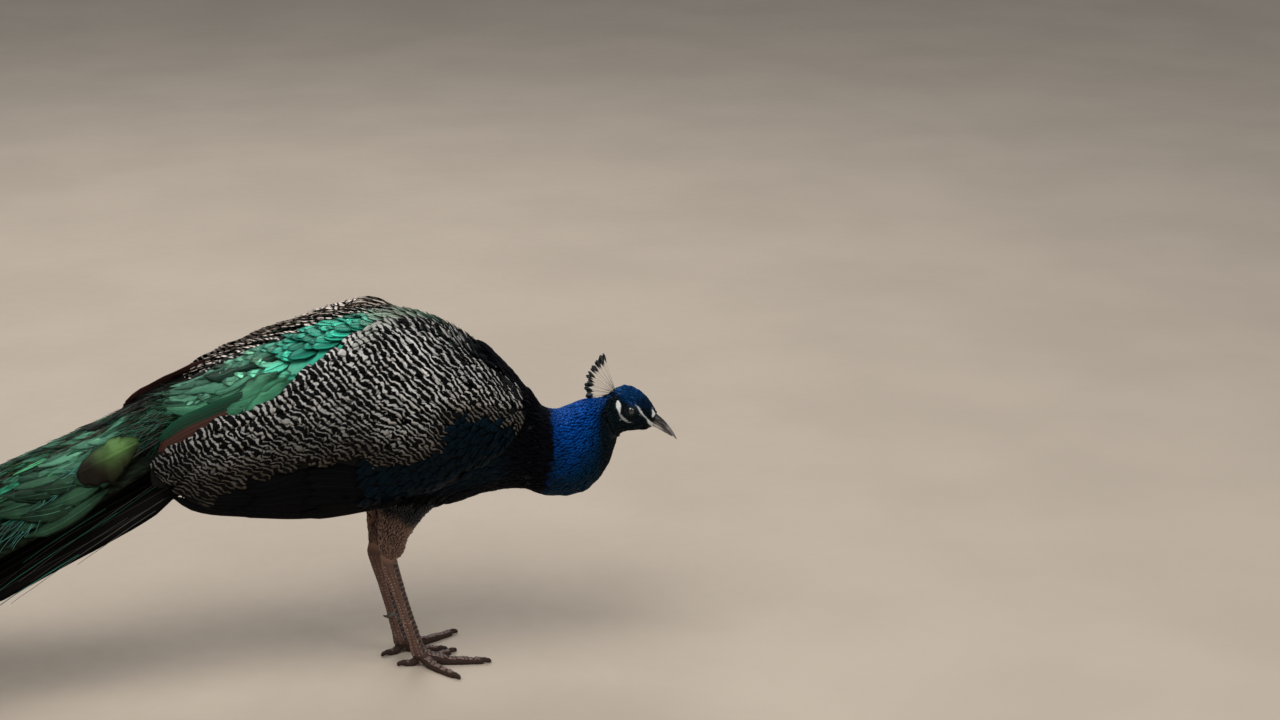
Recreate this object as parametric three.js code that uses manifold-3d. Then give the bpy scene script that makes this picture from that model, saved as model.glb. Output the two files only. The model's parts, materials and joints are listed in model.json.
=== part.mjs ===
// A life-size peacock (male Indian peafowl) as a still museum model. It stands on both feet with its back
// arched and its head low, and its train slopes down behind it until the last third lies on the floor.
// Millimetres. +X is towards the head, +Y is the bird's left, +Z is up, and the floor is at Z = 0.
// Stations are placed from the point on the floor between the feet. At the end the whole bird is moved along X,
// so that the origin is under the middle of the model.
import * as THREE from "three";
import Module from "manifold-3d";
import { mergeVertices } from "three/addons/utils/BufferGeometryUtils.js";

const wasm = await Module();
wasm.setup();

// ---------------------------------------------------------------- driving dimensions
const GAP = 0.3; // clearance between neighbouring solids
const BACK_TOP = 459; // top of the arched back, without the wings
const BILL_LENGTH = 41; // feather edge to tip
const EYE_RADIUS = 6.4;
const TARSUS_DEPTH = 15; // front to back, at its middle
const TARSUS_WIDTH = 11;
const HOCK_HEIGHT = 144; // the ankle joint above the floor
const FOOT_SPACING = 44; // between the two feet, side to side
const TRAIN_END = -1310; // tip of the longest train feathers
const TRAIN_WIDTH = 320; // at its widest
const TAIL_END = -585; // tip of the true tail, under the train
const WING_TIP = -316; // rear end of the barred feathers of the folded wing

// Head frame: the middle of the skull, with its turn to the bird's right and its tilt down.
const HEAD = { x: 285, y: -13, z: 318, yaw: -20, tilt: -31 };

// ---------------------------------------------------------------- finishes
const finish = (color, roughness, metalness = 0) =>
  new THREE.MeshStandardMaterial({ color, roughness, metalness });
const FINISH = {
  crownBlue: finish(0x0d3a78, 0.45, 0.3),
  neckBlue: finish(0x0a3f9a, 0.4, 0.35),
  bodyDark: finish(0x0b1418, 0.6),
  thighBuff: finish(0x9a8168, 0.8),
  barred: finish(0x8d8677, 0.75),
  wingDark: finish(0x10151c, 0.5),
  chestnut: finish(0x5a2a1c, 0.65),
  tailDark: finish(0x1a1613, 0.7),
  trainGreen: finish(0x1c6a43, 0.45, 0.3),
  crestShaft: finish(0x12222c, 0.6),
  bill: finish(0x8d8474, 0.5),
  eye: finish(0x140b07, 0.08),
  leg: finish(0x84735f, 0.7),
  spur: finish(0x8a7d6c, 0.5),
};

// ---------------------------------------------------------------- numbers and curves
const radians = THREE.MathUtils.degToRad;

// Value of one key of a list of stations at t, which counts stations. Smooth through every station.
function along(stations, key, t) {
  const last = stations.length - 1;
  const i = Math.min(Math.max(Math.floor(t), 0), last - 1);
  const at = (n) => stations[Math.min(Math.max(n, 0), last)][key] ?? 0;
  const f = t - i;
  const slopeIn = (at(i + 1) - at(i - 1)) / 2;
  const slopeOut = (at(i + 2) - at(i)) / 2;
  const f2 = f * f;
  const f3 = f2 * f;
  return (
    (2 * f3 - 3 * f2 + 1) * at(i) + (f3 - 2 * f2 + f) * slopeIn + (3 * f2 - 2 * f3) * at(i + 1) + (f3 - f2) * slopeOut
  );
}

const evenly = (from, to, count) => Array.from({ length: count + 1 }, (_, i) => from + ((to - from) * i) / count);

// ---------------------------------------------------------------- solids
// Closed skin over rings of equal length. Each end closes on its own middle point.
function skinOver(rings) {
  const size = rings[0].length;
  const middle = (ring) => ring.reduce((sum, p) => sum.add(p), new THREE.Vector3()).divideScalar(size);
  const points = [...rings.flat(), middle(rings[0]), middle(rings[rings.length - 1])];
  const first = rings.length * size;
  const faces = [];
  for (let i = 0; i < size; i += 1) {
    const j = (i + 1) % size;
    for (let r = 0; r + 1 < rings.length; r += 1) {
      const [a, b, c, d] = [r * size + i, r * size + j, (r + 1) * size + j, (r + 1) * size + i];
      faces.push(a, b, c, a, c, d);
    }
    const end = (rings.length - 1) * size;
    faces.push(first, j, i, first + 1, end + i, end + j);
  }
  const geometry = new THREE.BufferGeometry();
  geometry.setAttribute("position", new THREE.Float32BufferAttribute(points.flatMap((p) => p.toArray()), 3));
  geometry.setIndex(faces);
  return geometry;
}

function solidOf(geometry) {
  const bare = geometry.index ? geometry.toNonIndexed() : geometry.clone();
  bare.deleteAttribute("normal");
  bare.deleteAttribute("uv");
  const merged = mergeVertices(bare, 1e-3);
  const solid = new wasm.Manifold(
    new wasm.Mesh({
      numProp: 3,
      vertProperties: merged.attributes.position.array,
      triVerts: new Uint32Array(merged.index.array),
    }),
  );
  if (solid.volume() >= 0) return solid;
  merged.index.array.reverse();
  return solidOf(merged);
}

const loft = (rings) => solidOf(skinOver(rings));

// The largest body left after cutting away the others.
function cutBy(solid, ...others) {
  const left = others.reduce((rest, other) => rest.subtract(other), solid).decompose();
  return left.sort((a, b) => b.volume() - a.volume())[0];
}

const joined = (solids) => solids.reduce((sum, solid) => sum.add(solid));

function meshOf(name, solid, material) {
  const made = solid.getMesh();
  const geometry = new THREE.BufferGeometry();
  geometry.setAttribute("position", new THREE.BufferAttribute(made.vertProperties, 3));
  geometry.setIndex(new THREE.BufferAttribute(made.triVerts, 1));
  geometry.computeVertexNormals();
  const mesh = new THREE.Mesh(geometry, material);
  mesh.name = name;
  return mesh;
}

// ---------------------------------------------------------------- round sections
// Ring between a top and a bottom point, with its own half width. yaw turns it to the bird's left, in degrees.
function ring({ topX, topZ, lowX, lowZ, y, yaw, half, square = 1, sides = 24, grow = 0 }) {
  const w = radians(yaw);
  const side = new THREE.Vector3(-Math.sin(w), Math.cos(w), 0);
  const rise = new THREE.Vector3((topX - lowX) * Math.cos(w), (topX - lowX) * Math.sin(w), topZ - lowZ);
  const tall = rise.length() / 2;
  rise.normalize();
  const rounded = (value) => Math.sign(value) * Math.abs(value) ** square;
  return Array.from({ length: sides }, (_, i) => {
    const turn = (2 * Math.PI * i) / sides;
    return new THREE.Vector3((topX + lowX) / 2, y, (topZ + lowZ) / 2)
      .addScaledVector(side, rounded(Math.sin(turn)) * (half + grow))
      .addScaledVector(rise, rounded(Math.cos(turn)) * (tall + grow));
  });
}

const RING_KEYS = ["topX", "topZ", "lowX", "lowZ", "y", "yaw", "half"];
const fromEnds = ({ top, low, ...rest }) => ({ topX: top[0], topZ: top[1], lowX: low[0], lowZ: low[1], ...rest });

function ringsAlong(stations, steps, options = {}) {
  return steps.map((t) => {
    const here = Object.fromEntries(RING_KEYS.map((key) => [key, along(stations, key, t)]));
    return ring({ ...here, ...options });
  });
}

// ---------------------------------------------------------------- trunk, neck and head as one form
// From the rump to the feather edge of the bill: the top and the low point of each section, and its half width.
const BODY = [
  { part: "rump end", top: [-276, 357], low: [-262, 317], half: 26 },
  { part: "rump", top: [-250, 391], low: [-216, 297], half: 54 },
  { part: "vent", top: [-199, 416], low: [-163, 268], half: 75 },
  { part: "back", top: [-125, 442], low: [-101, 240], half: 91 },
  { part: "hips", top: [-50, BACK_TOP], low: [-40, 218], half: 98 },
  { part: "shoulders", top: [19, BACK_TOP - 1], low: [12, 207], half: 99 },
  { part: "mantle", top: [76, 427], low: [55, 210], half: 91 },
  { part: "breast", top: [117, 391], low: [100, 221], half: 80 },
  { part: "crop", top: [148, 355], low: [143, 220], half: 67 },
  { part: "neck root", top: [181, 319], low: [184, 208], half: 57 },
  { part: "neck bend", top: [205, 323], low: [226, 211], yaw: -3, half: 48 },
  { part: "neck", top: [226, 331], low: [254, 239], y: -2, yaw: -8, half: 39 },
  { part: "throat", top: [243, 333], low: [266, 272], y: -6, yaw: -14, half: 29 },
  { part: "nape", top: [254, 339.5], low: [271, 286], y: -9, yaw: -19, half: 24 },
  { part: "hind crown", top: [266.5, 347.5], low: [277, 290], y: -11.5, yaw: -20, half: 23 },
  { part: "crown", top: [280, 348.5], low: [285, 291], y: -14, yaw: -20, half: 22.5 },
  { part: "brow", top: [293, 342], low: [293.5, 291.5], y: -17, yaw: -20, half: 20 },
  { part: "forehead", top: [303.5, 332], low: [300.5, 292.5], y: -20, yaw: -20, half: 15.5 },
  { part: "lores", top: [310.5, 321.5], low: [306, 295], y: -22.5, yaw: -20, half: 11 },
  { part: "bill edge", top: [314, 314.5], low: [309.5, 298], y: -24, yaw: -20, half: 7.6 },
].map(fromEnds);
const bodyStation = (part) => BODY.findIndex((station) => station.part === part);
const NECK_START = bodyStation("crop") + 0.25;
const HEAD_START = bodyStation("throat") + 0.5;
const FLAT_CUT = 0.014; // in stations, the thin cut between two lengths of the body
const BODY_STEPS = {
  trunk: evenly(0, NECK_START, 12),
  neck: evenly(NECK_START + FLAT_CUT, HEAD_START, 7),
  head: evenly(HEAD_START + 2 * FLAT_CUT, BODY.length - 1, 9),
};

const bodyOver = (steps, grow = 0) => loft(ringsAlong(BODY, steps, { square: 0.94, grow }));
const wholeBody = (grow) => bodyOver(Object.values(BODY_STEPS).flat(), grow);

// ---------------------------------------------------------------- bands of feathers laid over the body
// A band follows an oval round the body's long axis, from one angle to another, with its own thickness.
// Angle 0 is the top of the back and 180 the belly. side is -1 for the bird's right and 1 for its left.
function bandRing({ x, z, wide, high, from, to, thick, side, steps = 11, grow = 0, edge = 0.35 }) {
  const onOval = (angle, inwards) =>
    new THREE.Vector3(
      x,
      side * (wide - inwards) * Math.sin(radians(angle)),
      z + (high - inwards) * Math.cos(radians(angle)),
    );
  const reach = grow / Math.max(wide, 20) * (180 / Math.PI);
  const angles = evenly(from - reach, to + reach, steps);
  const share = (i) => edge + (1 - edge) * Math.sin((Math.PI * i) / steps) ** 0.5;
  const outer = angles.map((angle, i) => onOval(angle, (thick / 2) * (1 - share(i)) - grow));
  const inner = angles.map((angle, i) => onOval(angle, thick - (thick / 2) * (1 - share(i)) + grow));
  return [...outer, ...inner.reverse()];
}

const BAND_KEYS = ["x", "z", "wide", "high", "from", "to", "thick"];

function bandAlong(stations, count, options = {}) {
  const last = stations.length - 1;
  const rings = evenly(0, last, count).map((t) => {
    const here = Object.fromEntries(BAND_KEYS.map((key) => [key, along(stations, key, t)]));
    return bandRing({ ...here, ...options });
  });
  return loft(rings);
}

const SIDES = { right: -1, left: 1 };

// Barred scapulars and coverts: the outermost layer of the folded wing. The left wing lies higher on the back,
// and its upper edge starts at fromLeft.
const COVERTS = [
  { x: 139, z: 318, wide: 80, high: 66, from: 50, to: 74, thick: 6, fromLeft: 50 },
  { x: 124, z: 316, wide: 91, high: 82, from: 34, to: 96, thick: 11, fromLeft: 34 },
  { x: 85, z: 322, wide: 103, high: 99, from: 24, to: 112, thick: 17, fromLeft: 24 },
  { x: 35, z: 329, wide: 111, high: 120, from: 17, to: 116, thick: 22, fromLeft: 17 },
  { x: -25, z: 332, wide: 113, high: 145, from: 20, to: 109, thick: 22, fromLeft: 19 },
  { x: -90, z: 334, wide: 109, high: 133, from: 41, to: 104, thick: 20, fromLeft: 24 },
  { x: -155, z: 334, wide: 101, high: 110, from: 59, to: 114, thick: 17, fromLeft: 31 },
  { x: -220, z: 328, wide: 93, high: 94, from: 68, to: 129, thick: 14, fromLeft: 40 },
  { x: -270, z: 322, wide: 86, high: 80, from: 80, to: 134, thick: 11, fromLeft: 54 },
  { x: -303, z: 313, wide: 80, high: 68, from: 85, to: 128, thick: 8, fromLeft: 70 },
  { x: WING_TIP, z: 304, wide: 76, high: 60, from: 88, to: 112, thick: 5, fromLeft: 84 },
];

// Dark secondaries: they come out below the coverts and hang beside the flank.
const SECONDARIES = [
  { x: 78, z: 312, wide: 94, high: 120, from: 92, to: 109, thick: 8 },
  { x: 45, z: 318, wide: 100, high: 138, from: 90, to: 116, thick: 12 },
  { x: -10, z: 322, wide: 102, high: 150, from: 92, to: 121, thick: 14 },
  { x: -70, z: 322, wide: 100, high: 152, from: 92, to: 127, thick: 14 },
  { x: -140, z: 320, wide: 94, high: 166, from: 92, to: 124, thick: 12 },
  { x: -205, z: 316, wide: 86, high: 160, from: 92, to: 123, thick: 10 },
  { x: -248, z: 312, wide: 80, high: 156, from: 92, to: 117, thick: 7 },
  { x: -290, z: 308, wide: 73, high: 150, from: 92, to: 105, thick: 4 },
];

// Chestnut primaries: their edges show above the coverts, and those of the left wing lie over the train's root.
const PRIMARIES = {
  right: [
    { x: -120, z: 338, wide: 94, high: 104, from: 48, to: 80, thick: 5 },
    { x: -175, z: 338, wide: 90, high: 96, from: 56, to: 92, thick: 7 },
    { x: -225, z: 335, wide: 86, high: 88, from: 63, to: 100, thick: 7 },
    { x: -270, z: 329, wide: 82, high: 80, from: 69, to: 106, thick: 6 },
    { x: -300, z: 321, wide: 78, high: 72, from: 78, to: 104, thick: 4 },
    { x: -312, z: 316, wide: 75, high: 68, from: 86, to: 98, thick: 2.5 },
  ],
  left: [
    { x: -120, z: 338, wide: 90, high: 104, from: 36, to: 74, thick: 5 },
    { x: -180, z: 338, wide: 84, high: 92, from: 40, to: 84, thick: 7 },
    { x: -240, z: 332, wide: 80, high: 82, from: 44, to: 90, thick: 7 },
    { x: -290, z: 325, wide: 74, high: 72, from: 50, to: 92, thick: 6 },
    { x: -330, z: 315, wide: 69, high: 62, from: 57, to: 88, thick: 4 },
    { x: -350, z: 307, wide: 65, high: 56, from: 66, to: 80, thick: 2.5 },
  ],
};

function coverts(side, grow = 0) {
  const stations = COVERTS.map((station) => ({ ...station, from: side > 0 ? station.fromLeft : station.from }));
  return bandAlong(stations, 12, { side, grow, steps: 7 });
}
const secondaries = (side, grow = 0) => bandAlong(SECONDARIES, 7, { side, grow, steps: 5 });
const primaries = (side, grow = 0) =>
  bandAlong(side > 0 ? PRIMARIES.left : PRIMARIES.right, 7, { side, grow, steps: 4 });

// ---------------------------------------------------------------- tail and train
// Both are roofs of long feathers: wide, thin and arched across, with edges that hang.
function roofRing({ x, z, wide, thick, drop, steps = 8, grow = 0 }) {
  const across = evenly(-1, 1, steps);
  const arch = (u) => drop * u * u;
  const body = (u) => (thick / 2) * (0.2 + 0.8 * Math.sqrt(Math.max(1 - u * u, 0)));
  const point = (u, sign) =>
    new THREE.Vector3(x, u * (wide / 2 + grow), z - arch(u) + sign * (body(u) + grow));
  return [...across.map((u) => point(u, 1)), ...across.reverse().map((u) => point(u, -1))];
}

const ROOF_KEYS = ["x", "z", "wide", "thick", "drop"];

const roofBetween = (stations, from, to, count, options) =>
  loft(
    evenly(from, to, count).map((t) => {
      const here = Object.fromEntries(ROOF_KEYS.map((key) => [key, along(stations, key, t)]));
      return roofRing({ ...here, ...options });
    }),
  );

const TAIL = [
  { x: -205, z: 306, wide: 60, thick: 30, drop: 14 },
  { x: -260, z: 297, wide: 100, thick: 34, drop: 26 },
  { x: -340, z: 266, wide: 124, thick: 28, drop: 34 },
  { x: -440, z: 223, wide: 142, thick: 20, drop: 36 },
  { x: -530, z: 174, wide: 146, thick: 13, drop: 32 },
  { x: TAIL_END + 14, z: 150, wide: 120, thick: 8, drop: 24 },
  { x: TAIL_END, z: 143, wide: 70, thick: 4, drop: 14 },
];

const TRAIN = [
  { x: -168, z: 394, wide: 62, thick: 30, drop: 8 },
  { x: -215, z: 378, wide: 96, thick: 44, drop: 20 },
  { x: -290, z: 346, wide: 118, thick: 50, drop: 34 },
  { x: -390, z: 303, wide: 152, thick: 50, drop: 44 },
  { x: -500, z: 259, wide: 190, thick: 46, drop: 48 },
  { x: -620, z: 206, wide: 228, thick: 42, drop: 46 },
  { x: -750, z: 148, wide: 268, thick: 38, drop: 38 },
  { x: -880, z: 93, wide: 300, thick: 34, drop: 27 },
  { x: -1000, z: 48, wide: TRAIN_WIDTH, thick: 30, drop: 15 },
  { x: -1110, z: 22, wide: 312, thick: 25, drop: 7 },
  { x: -1210, z: 9, wide: 268, thick: 20, drop: 3 },
  { x: -1275, z: 5, wide: 190, thick: 13, drop: 1.5 },
  { x: TRAIN_END, z: 3, wide: 84, thick: 7, drop: 0.5 },
];
const TRAIN_CUTS = [0, 4, 8, TRAIN.length - 1]; // stations where one length ends and the next begins
const ROOF_CUT = 0.004;
const FLOOR = new THREE.Vector3(0, 0, 1);

const aboveFloor = (solid) => solid.trimByPlane(FLOOR.toArray(), 0);

// ---------------------------------------------------------------- legs and feet
// Straight or bent limb through joints, each { at: [x, y, z], deep, wide }; deep is front to back.
function limb(joints, count, sides, grow = 0) {
  const path = new THREE.CatmullRomCurve3(joints.map((joint) => new THREE.Vector3(...joint.at)), false, "centripetal");
  const last = joints.length - 1;
  const rings = evenly(0, last, count).map((t) => {
    const middle = path.getPoint(t / last);
    const heading = path.getTangent(t / last);
    const side = new THREE.Vector3(0, 1, 0).addScaledVector(heading, -heading.y).normalize();
    const front = side.clone().cross(heading);
    return Array.from({ length: sides }, (_, i) => {
      const turn = (2 * Math.PI * i) / sides;
      return middle
        .clone()
        .addScaledVector(side, Math.sin(turn) * (along(joints, "wide", t) / 2 + grow))
        .addScaledVector(front, Math.cos(turn) * (along(joints, "deep", t) / 2 + grow));
    });
  });
  return loft(rings);
}

// Each leg: where its hock and foot stand, and the way its middle toe points, in degrees to the left.
const LEGS = {
  right: { side: -1, hock: [-27, HOCK_HEIGHT], foot: [9, 13], heading: -9 },
  left: { side: 1, hock: [-38, HOCK_HEIGHT - 5], foot: [-9, 13], heading: 30 },
};

function thigh({ side, hock }, grow = 0) {
  const [hockX, hockZ] = hock;
  const joints = [
    { at: [hockX + 32, side * 50, 262], deep: 84, wide: 60 },
    { at: [hockX + 22, side * 46, 226], deep: 66, wide: 50 },
    { at: [hockX + 10, side * 36, 192], deep: 49, wide: 38 },
    { at: [hockX + 5, side * 27, 165], deep: 37, wide: 29 },
    { at: [hockX + 4, side * 23.5, hockZ + 6], deep: 26, wide: 20 },
  ];
  return limb(joints, 5, 12, grow);
}

function shank({ side, hock, foot }, grow = 0) {
  const [hockX, hockZ] = hock;
  const [footX, footZ] = foot;
  const at = (share) => [
    hockX + (footX - hockX) * share,
    side * (23 - (23 - FOOT_SPACING / 2) * share),
    hockZ + (footZ - hockZ) * share,
  ];
  const joints = [
    { at: [hockX - 1, side * 23.5, hockZ + 15], deep: 12, wide: 11 },
    { at: at(0.0), deep: TARSUS_DEPTH + 6, wide: TARSUS_WIDTH + 6 },
    { at: at(0.16), deep: TARSUS_DEPTH + 1.5, wide: TARSUS_WIDTH + 1.5 },
    { at: at(0.45), deep: TARSUS_DEPTH - 1, wide: TARSUS_WIDTH - 0.5 },
    { at: at(0.8), deep: TARSUS_DEPTH - 1.5, wide: TARSUS_WIDTH },
    { at: at(0.97), deep: TARSUS_DEPTH + 2, wide: TARSUS_WIDTH + 5 },
    { at: at(1.03), deep: TARSUS_DEPTH - 3, wide: TARSUS_WIDTH },
  ];
  return limb(joints, 7, 8, grow);
}

// The spur stands on the shank's inner side and points inwards and a little back.
function spur({ side, hock, foot }) {
  const share = 0.66;
  const root = [hock[0] + (foot[0] - hock[0]) * share, side * 18.5, hock[1] + (foot[1] - hock[1]) * share];
  const joints = [
    { at: [root[0] - 1, root[1], root[2]], deep: 8, wide: 8 },
    { at: [root[0] - 6, root[1] - side * 7, root[2] - 1], deep: 5.4, wide: 5.4 },
    { at: [root[0] - 11, root[1] - side * 12, root[2] + 1], deep: 3, wide: 3 },
    { at: [root[0] - 14, root[1] - side * 14.5, root[2] + 4], deep: 0.9, wide: 0.9 },
  ];
  return limb(joints, 4, 8);
}

// Toes: turn from the middle toe in degrees towards the bird's outer side, length to the claw, and thickness.
const TOES = {
  inner: { turn: -40, length: 47, thick: 10.5, joints: 2 },
  middle: { turn: 0, length: 78, thick: 11.5, joints: 3 },
  outer: { turn: 44, length: 60, thick: 10.5, joints: 4 },
  hind: { turn: 172, length: 18, thick: 9.5, joints: 1 },
};
const CLAW_LENGTH = 15;

function toePath({ side, foot, heading }, { turn, length }) {
  const bearing = radians(heading + side * turn);
  const out = (reach, z) => [
    foot[0] + reach * Math.cos(bearing),
    (side * FOOT_SPACING) / 2 + reach * Math.sin(bearing),
    z,
  ];
  return { out, length };
}

function toe(leg, kind) {
  const { out, length } = toePath(leg, kind);
  const rings = kind.joints + 3;
  const joints = evenly(0, 1, rings).map((share, i) => {
    const swell = i % 2 ? 0.94 : 1.08;
    const thick = kind.thick * (1 - 0.42 * share) * swell;
    const z = 12.5 * (1 - share) ** 5 + (thick / 2 - 0.9);
    return { at: out(length * share, z), deep: thick, wide: thick * 0.94 };
  });
  return limb(joints, rings, 8);
}

function claw(leg, kind) {
  const { out, length } = toePath(leg, kind);
  const joints = [
    { at: out(length - 4, 3.6), deep: 4.4, wide: 4 },
    { at: out(length + 3, 4.6), deep: 4.6, wide: 3.8 },
    { at: out(length + 9, 3.6), deep: 3.2, wide: 2.6 },
    { at: out(length + CLAW_LENGTH - 4, 1.4), deep: 1.2, wide: 1.1 },
  ];
  return limb(joints, 3, 6);
}

// ---------------------------------------------------------------- bill, eyes and crest, in the head's own frame
// x runs from the middle of the skull towards the bill tip, y to the bird's left and z to the crown.
const BILL_ROOT = { x: 27, z: 3 };
const EYE = { x: -1.6, y: 18.2, z: 4 };
const CREST_ROOT = { x: -35, z: 8 };
const CREST_FEATHERS = 11;
const CREST_LENGTH = { front: 51, back: 36 };

const billStation = ({ x, z, tall, half }) => ({ topX: x, topZ: z + tall / 2, lowX: x, lowZ: z - tall / 2, half });
const UPPER_BILL = [
  { x: -3, z: 3.4, tall: 11.4, half: 6.9 },
  { x: 9, z: 3.1, tall: 8.8, half: 5.8 },
  { x: 20, z: 1.6, tall: 6.2, half: 4.4 },
  { x: 30, z: -0.9, tall: 4.2, half: 3 },
  { x: 37, z: -3.4, tall: 2.8, half: 1.7 },
  { x: BILL_LENGTH, z: -5.2, tall: 1.2, half: 0.6 },
];
const LOWER_BILL = [
  { x: -3, z: -4.8, tall: 7, half: 6 },
  { x: 9, z: -3.6, tall: 5.2, half: 4.8 },
  { x: 20, z: -3.9, tall: 4.2, half: 3.5 },
  { x: 29, z: -4.6, tall: 2.7, half: 2.2 },
  { x: 34, z: -5.1, tall: 1.1, half: 0.8 },
];

function billPart(stations, count, grow = 0) {
  const placed = stations.map(({ x, z, ...rest }) =>
    billStation({ x: x + BILL_ROOT.x, z: z + BILL_ROOT.z, ...rest }),
  );
  return loft(ringsAlong(placed, evenly(0, stations.length - 1, count), { sides: 12, grow }));
}

const eyeball = (side, grow = 0) =>
  solidOf(new THREE.SphereGeometry(EYE_RADIUS + grow, 12, 9).translate(EYE.x, side * EYE.y, EYE.z));

// One crest feather: a bare stem with a small spoon at its end. Number 0 stands upright, the last lies back.
function crestFeather(number) {
  const share = number / (CREST_FEATHERS - 1);
  const angle = radians(135 + 93 * share); // from the bill's direction, round over the crown
  const { front, back } = CREST_LENGTH;
  const length = back + (front - back) * (1 - share) ** 2;
  const aside = number % 2 ? 4.5 : -4.5;
  const tip = new THREE.Vector3(Math.cos(angle) * length, aside, Math.sin(angle) * length);
  const root = new THREE.Vector3(CREST_ROOT.x, 0, CREST_ROOT.z);
  const heading = tip.clone().normalize();
  const across = new THREE.Vector3(0, 1, 0);
  const flat = heading.clone().cross(across).normalize();
  const widths = [
    [0, 0.6, 0.6],
    [0.76, 0.5, 0.5],
    [0.9, 3.6, 0.8],
    [1, 1.3, 0.5],
  ];
  const rings = widths.map(([reach, half, thin]) =>
    Array.from({ length: 4 }, (_, i) => {
      const turn = (Math.PI * i) / 2;
      return root
        .clone()
        .addScaledVector(tip, reach)
        .addScaledVector(flat, Math.cos(turn) * half)
        .addScaledVector(across, Math.sin(turn) * thin);
    }),
  );
  return loft(rings);
}

function crest() {
  const stems = Array.from({ length: CREST_FEATHERS }, (_, i) => crestFeather(i));
  const root = new THREE.SphereGeometry(2.6, 8, 5).translate(CREST_ROOT.x, 0, CREST_ROOT.z);
  return joined([solidOf(root), ...stems]);
}

// ---------------------------------------------------------------- the bird
const bird = new THREE.Group();

const headFrame = new THREE.Group();
headFrame.position.set(HEAD.x, HEAD.y, HEAD.z);
headFrame.rotation.set(0, radians(-HEAD.tilt), radians(HEAD.yaw), "ZYX");
headFrame.updateMatrix();
bird.add(headFrame);
const inBird = (solid) => solid.transform(headFrame.matrix.toArray());
const inHead = (solid) => solid.transform(headFrame.matrix.clone().invert().toArray());

// Head, with sockets for the eyes and a seat for the bill and the crest.
const headSolid = bodyOver(BODY_STEPS.head);
const billUpper = billPart(UPPER_BILL, 6);
const billLower = cutBy(billPart(LOWER_BILL, 5), billPart(UPPER_BILL, 6, GAP));
const headHollows = [
  eyeball(1, GAP),
  eyeball(-1, GAP),
  billPart(UPPER_BILL, 6, GAP),
  billPart(LOWER_BILL, 5, GAP),
  solidOf(new THREE.SphereGeometry(2.6 + GAP + 0.3, 8, 5).translate(CREST_ROOT.x, 0, CREST_ROOT.z)),
].map(inBird);
bird.add(meshOf("head", cutBy(headSolid, ...headHollows), FINISH.crownBlue));
headFrame.add(meshOf("bill_upper", billUpper, FINISH.bill));
headFrame.add(meshOf("bill_lower", billLower, FINISH.bill));
headFrame.add(meshOf("eye_right", eyeball(SIDES.right), FINISH.eye));
headFrame.add(meshOf("eye_left", eyeball(SIDES.left), FINISH.eye));
headFrame.add(meshOf("crest", cutBy(crest(), inHead(wholeBody(GAP).subtract(headHollows[4]))), FINISH.crestShaft));

// Neck and trunk.
bird.add(meshOf("neck", bodyOver(BODY_STEPS.neck), FINISH.neckBlue));
bird.add(meshOf("trunk", bodyOver(BODY_STEPS.trunk), FINISH.bodyDark));

const grownBody = wholeBody(GAP);
for (const [name, side] of Object.entries(SIDES)) {
  const cover = cutBy(coverts(side), grownBody);
  const dark = cutBy(secondaries(side), grownBody, coverts(side, GAP));
  const long = cutBy(primaries(side), grownBody, coverts(side, GAP), secondaries(side, GAP));
  bird.add(meshOf(`wing_coverts_${name}`, cover, FINISH.barred));
  bird.add(meshOf(`wing_secondaries_${name}`, dark, FINISH.wingDark));
  bird.add(meshOf(`wing_primaries_${name}`, long, FINISH.chestnut));
}

// Tail and train, shaped to lie against the rump and inside the wings.
const wingsGrown = Object.values(SIDES).flatMap((side) => [
  coverts(side, GAP),
  secondaries(side, GAP),
  primaries(side, GAP),
]);
const tailSteps = 8;
const tail = cutBy(roofBetween(TAIL, 0, TAIL.length - 1, tailSteps), grownBody, ...wingsGrown);
const tailGrown = roofBetween(TAIL, 0, TAIL.length - 1, tailSteps, { grow: GAP });
bird.add(meshOf("tail", tail, FINISH.tailDark));

["train_root", "train_middle", "train_end"].forEach((name, i) => {
  const from = TRAIN_CUTS[i] + (i ? ROOF_CUT : 0);
  const length = roofBetween(TRAIN, from, TRAIN_CUTS[i + 1], 7);
  const fitted = cutBy(aboveFloor(length), grownBody, tailGrown, ...wingsGrown);
  bird.add(meshOf(name, fitted, FINISH.trainGreen));
});

// Legs.
for (const [name, leg] of Object.entries(LEGS)) {
  const thighSolid = cutBy(thigh(leg), grownBody, secondaries(leg.side, GAP));
  bird.add(meshOf(`thigh_${name}`, thighSolid, FINISH.thighBuff));
  bird.add(meshOf(`shank_${name}`, cutBy(shank(leg), thigh(leg, GAP)), FINISH.leg));
  bird.add(meshOf(`spur_${name}`, cutBy(spur(leg), shank(leg, GAP)), FINISH.spur));
  const foot = joined(Object.values(TOES).flatMap((kind) => [toe(leg, kind), claw(leg, kind)]));
  bird.add(meshOf(`foot_${name}`, cutBy(aboveFloor(foot), shank(leg, GAP)), FINISH.leg));
}

bird.updateMatrixWorld(true);
const reach = new THREE.Box3().setFromObject(bird);
bird.position.set(-(reach.min.x + reach.max.x) / 2, -(reach.min.y + reach.max.y) / 2, 0);

export default bird;
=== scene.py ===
"""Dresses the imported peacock: one skin under the feathers, eyes, bill, claws, and a coat of solid vanes.

Metres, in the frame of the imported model: +X towards the head, +Y the bird's left, +Z up, floor at Z = 0.
Places on the bird are in millimetres from the point on the floor between the feet, as `place` takes them.
"""

import json
import math

import bmesh
import bpy
import numpy as np
from bpy.props import FloatProperty, FloatVectorProperty, IntProperty, PointerProperty
from mathutils import Matrix, Vector
from mathutils.bvhtree import BVHTree

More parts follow.
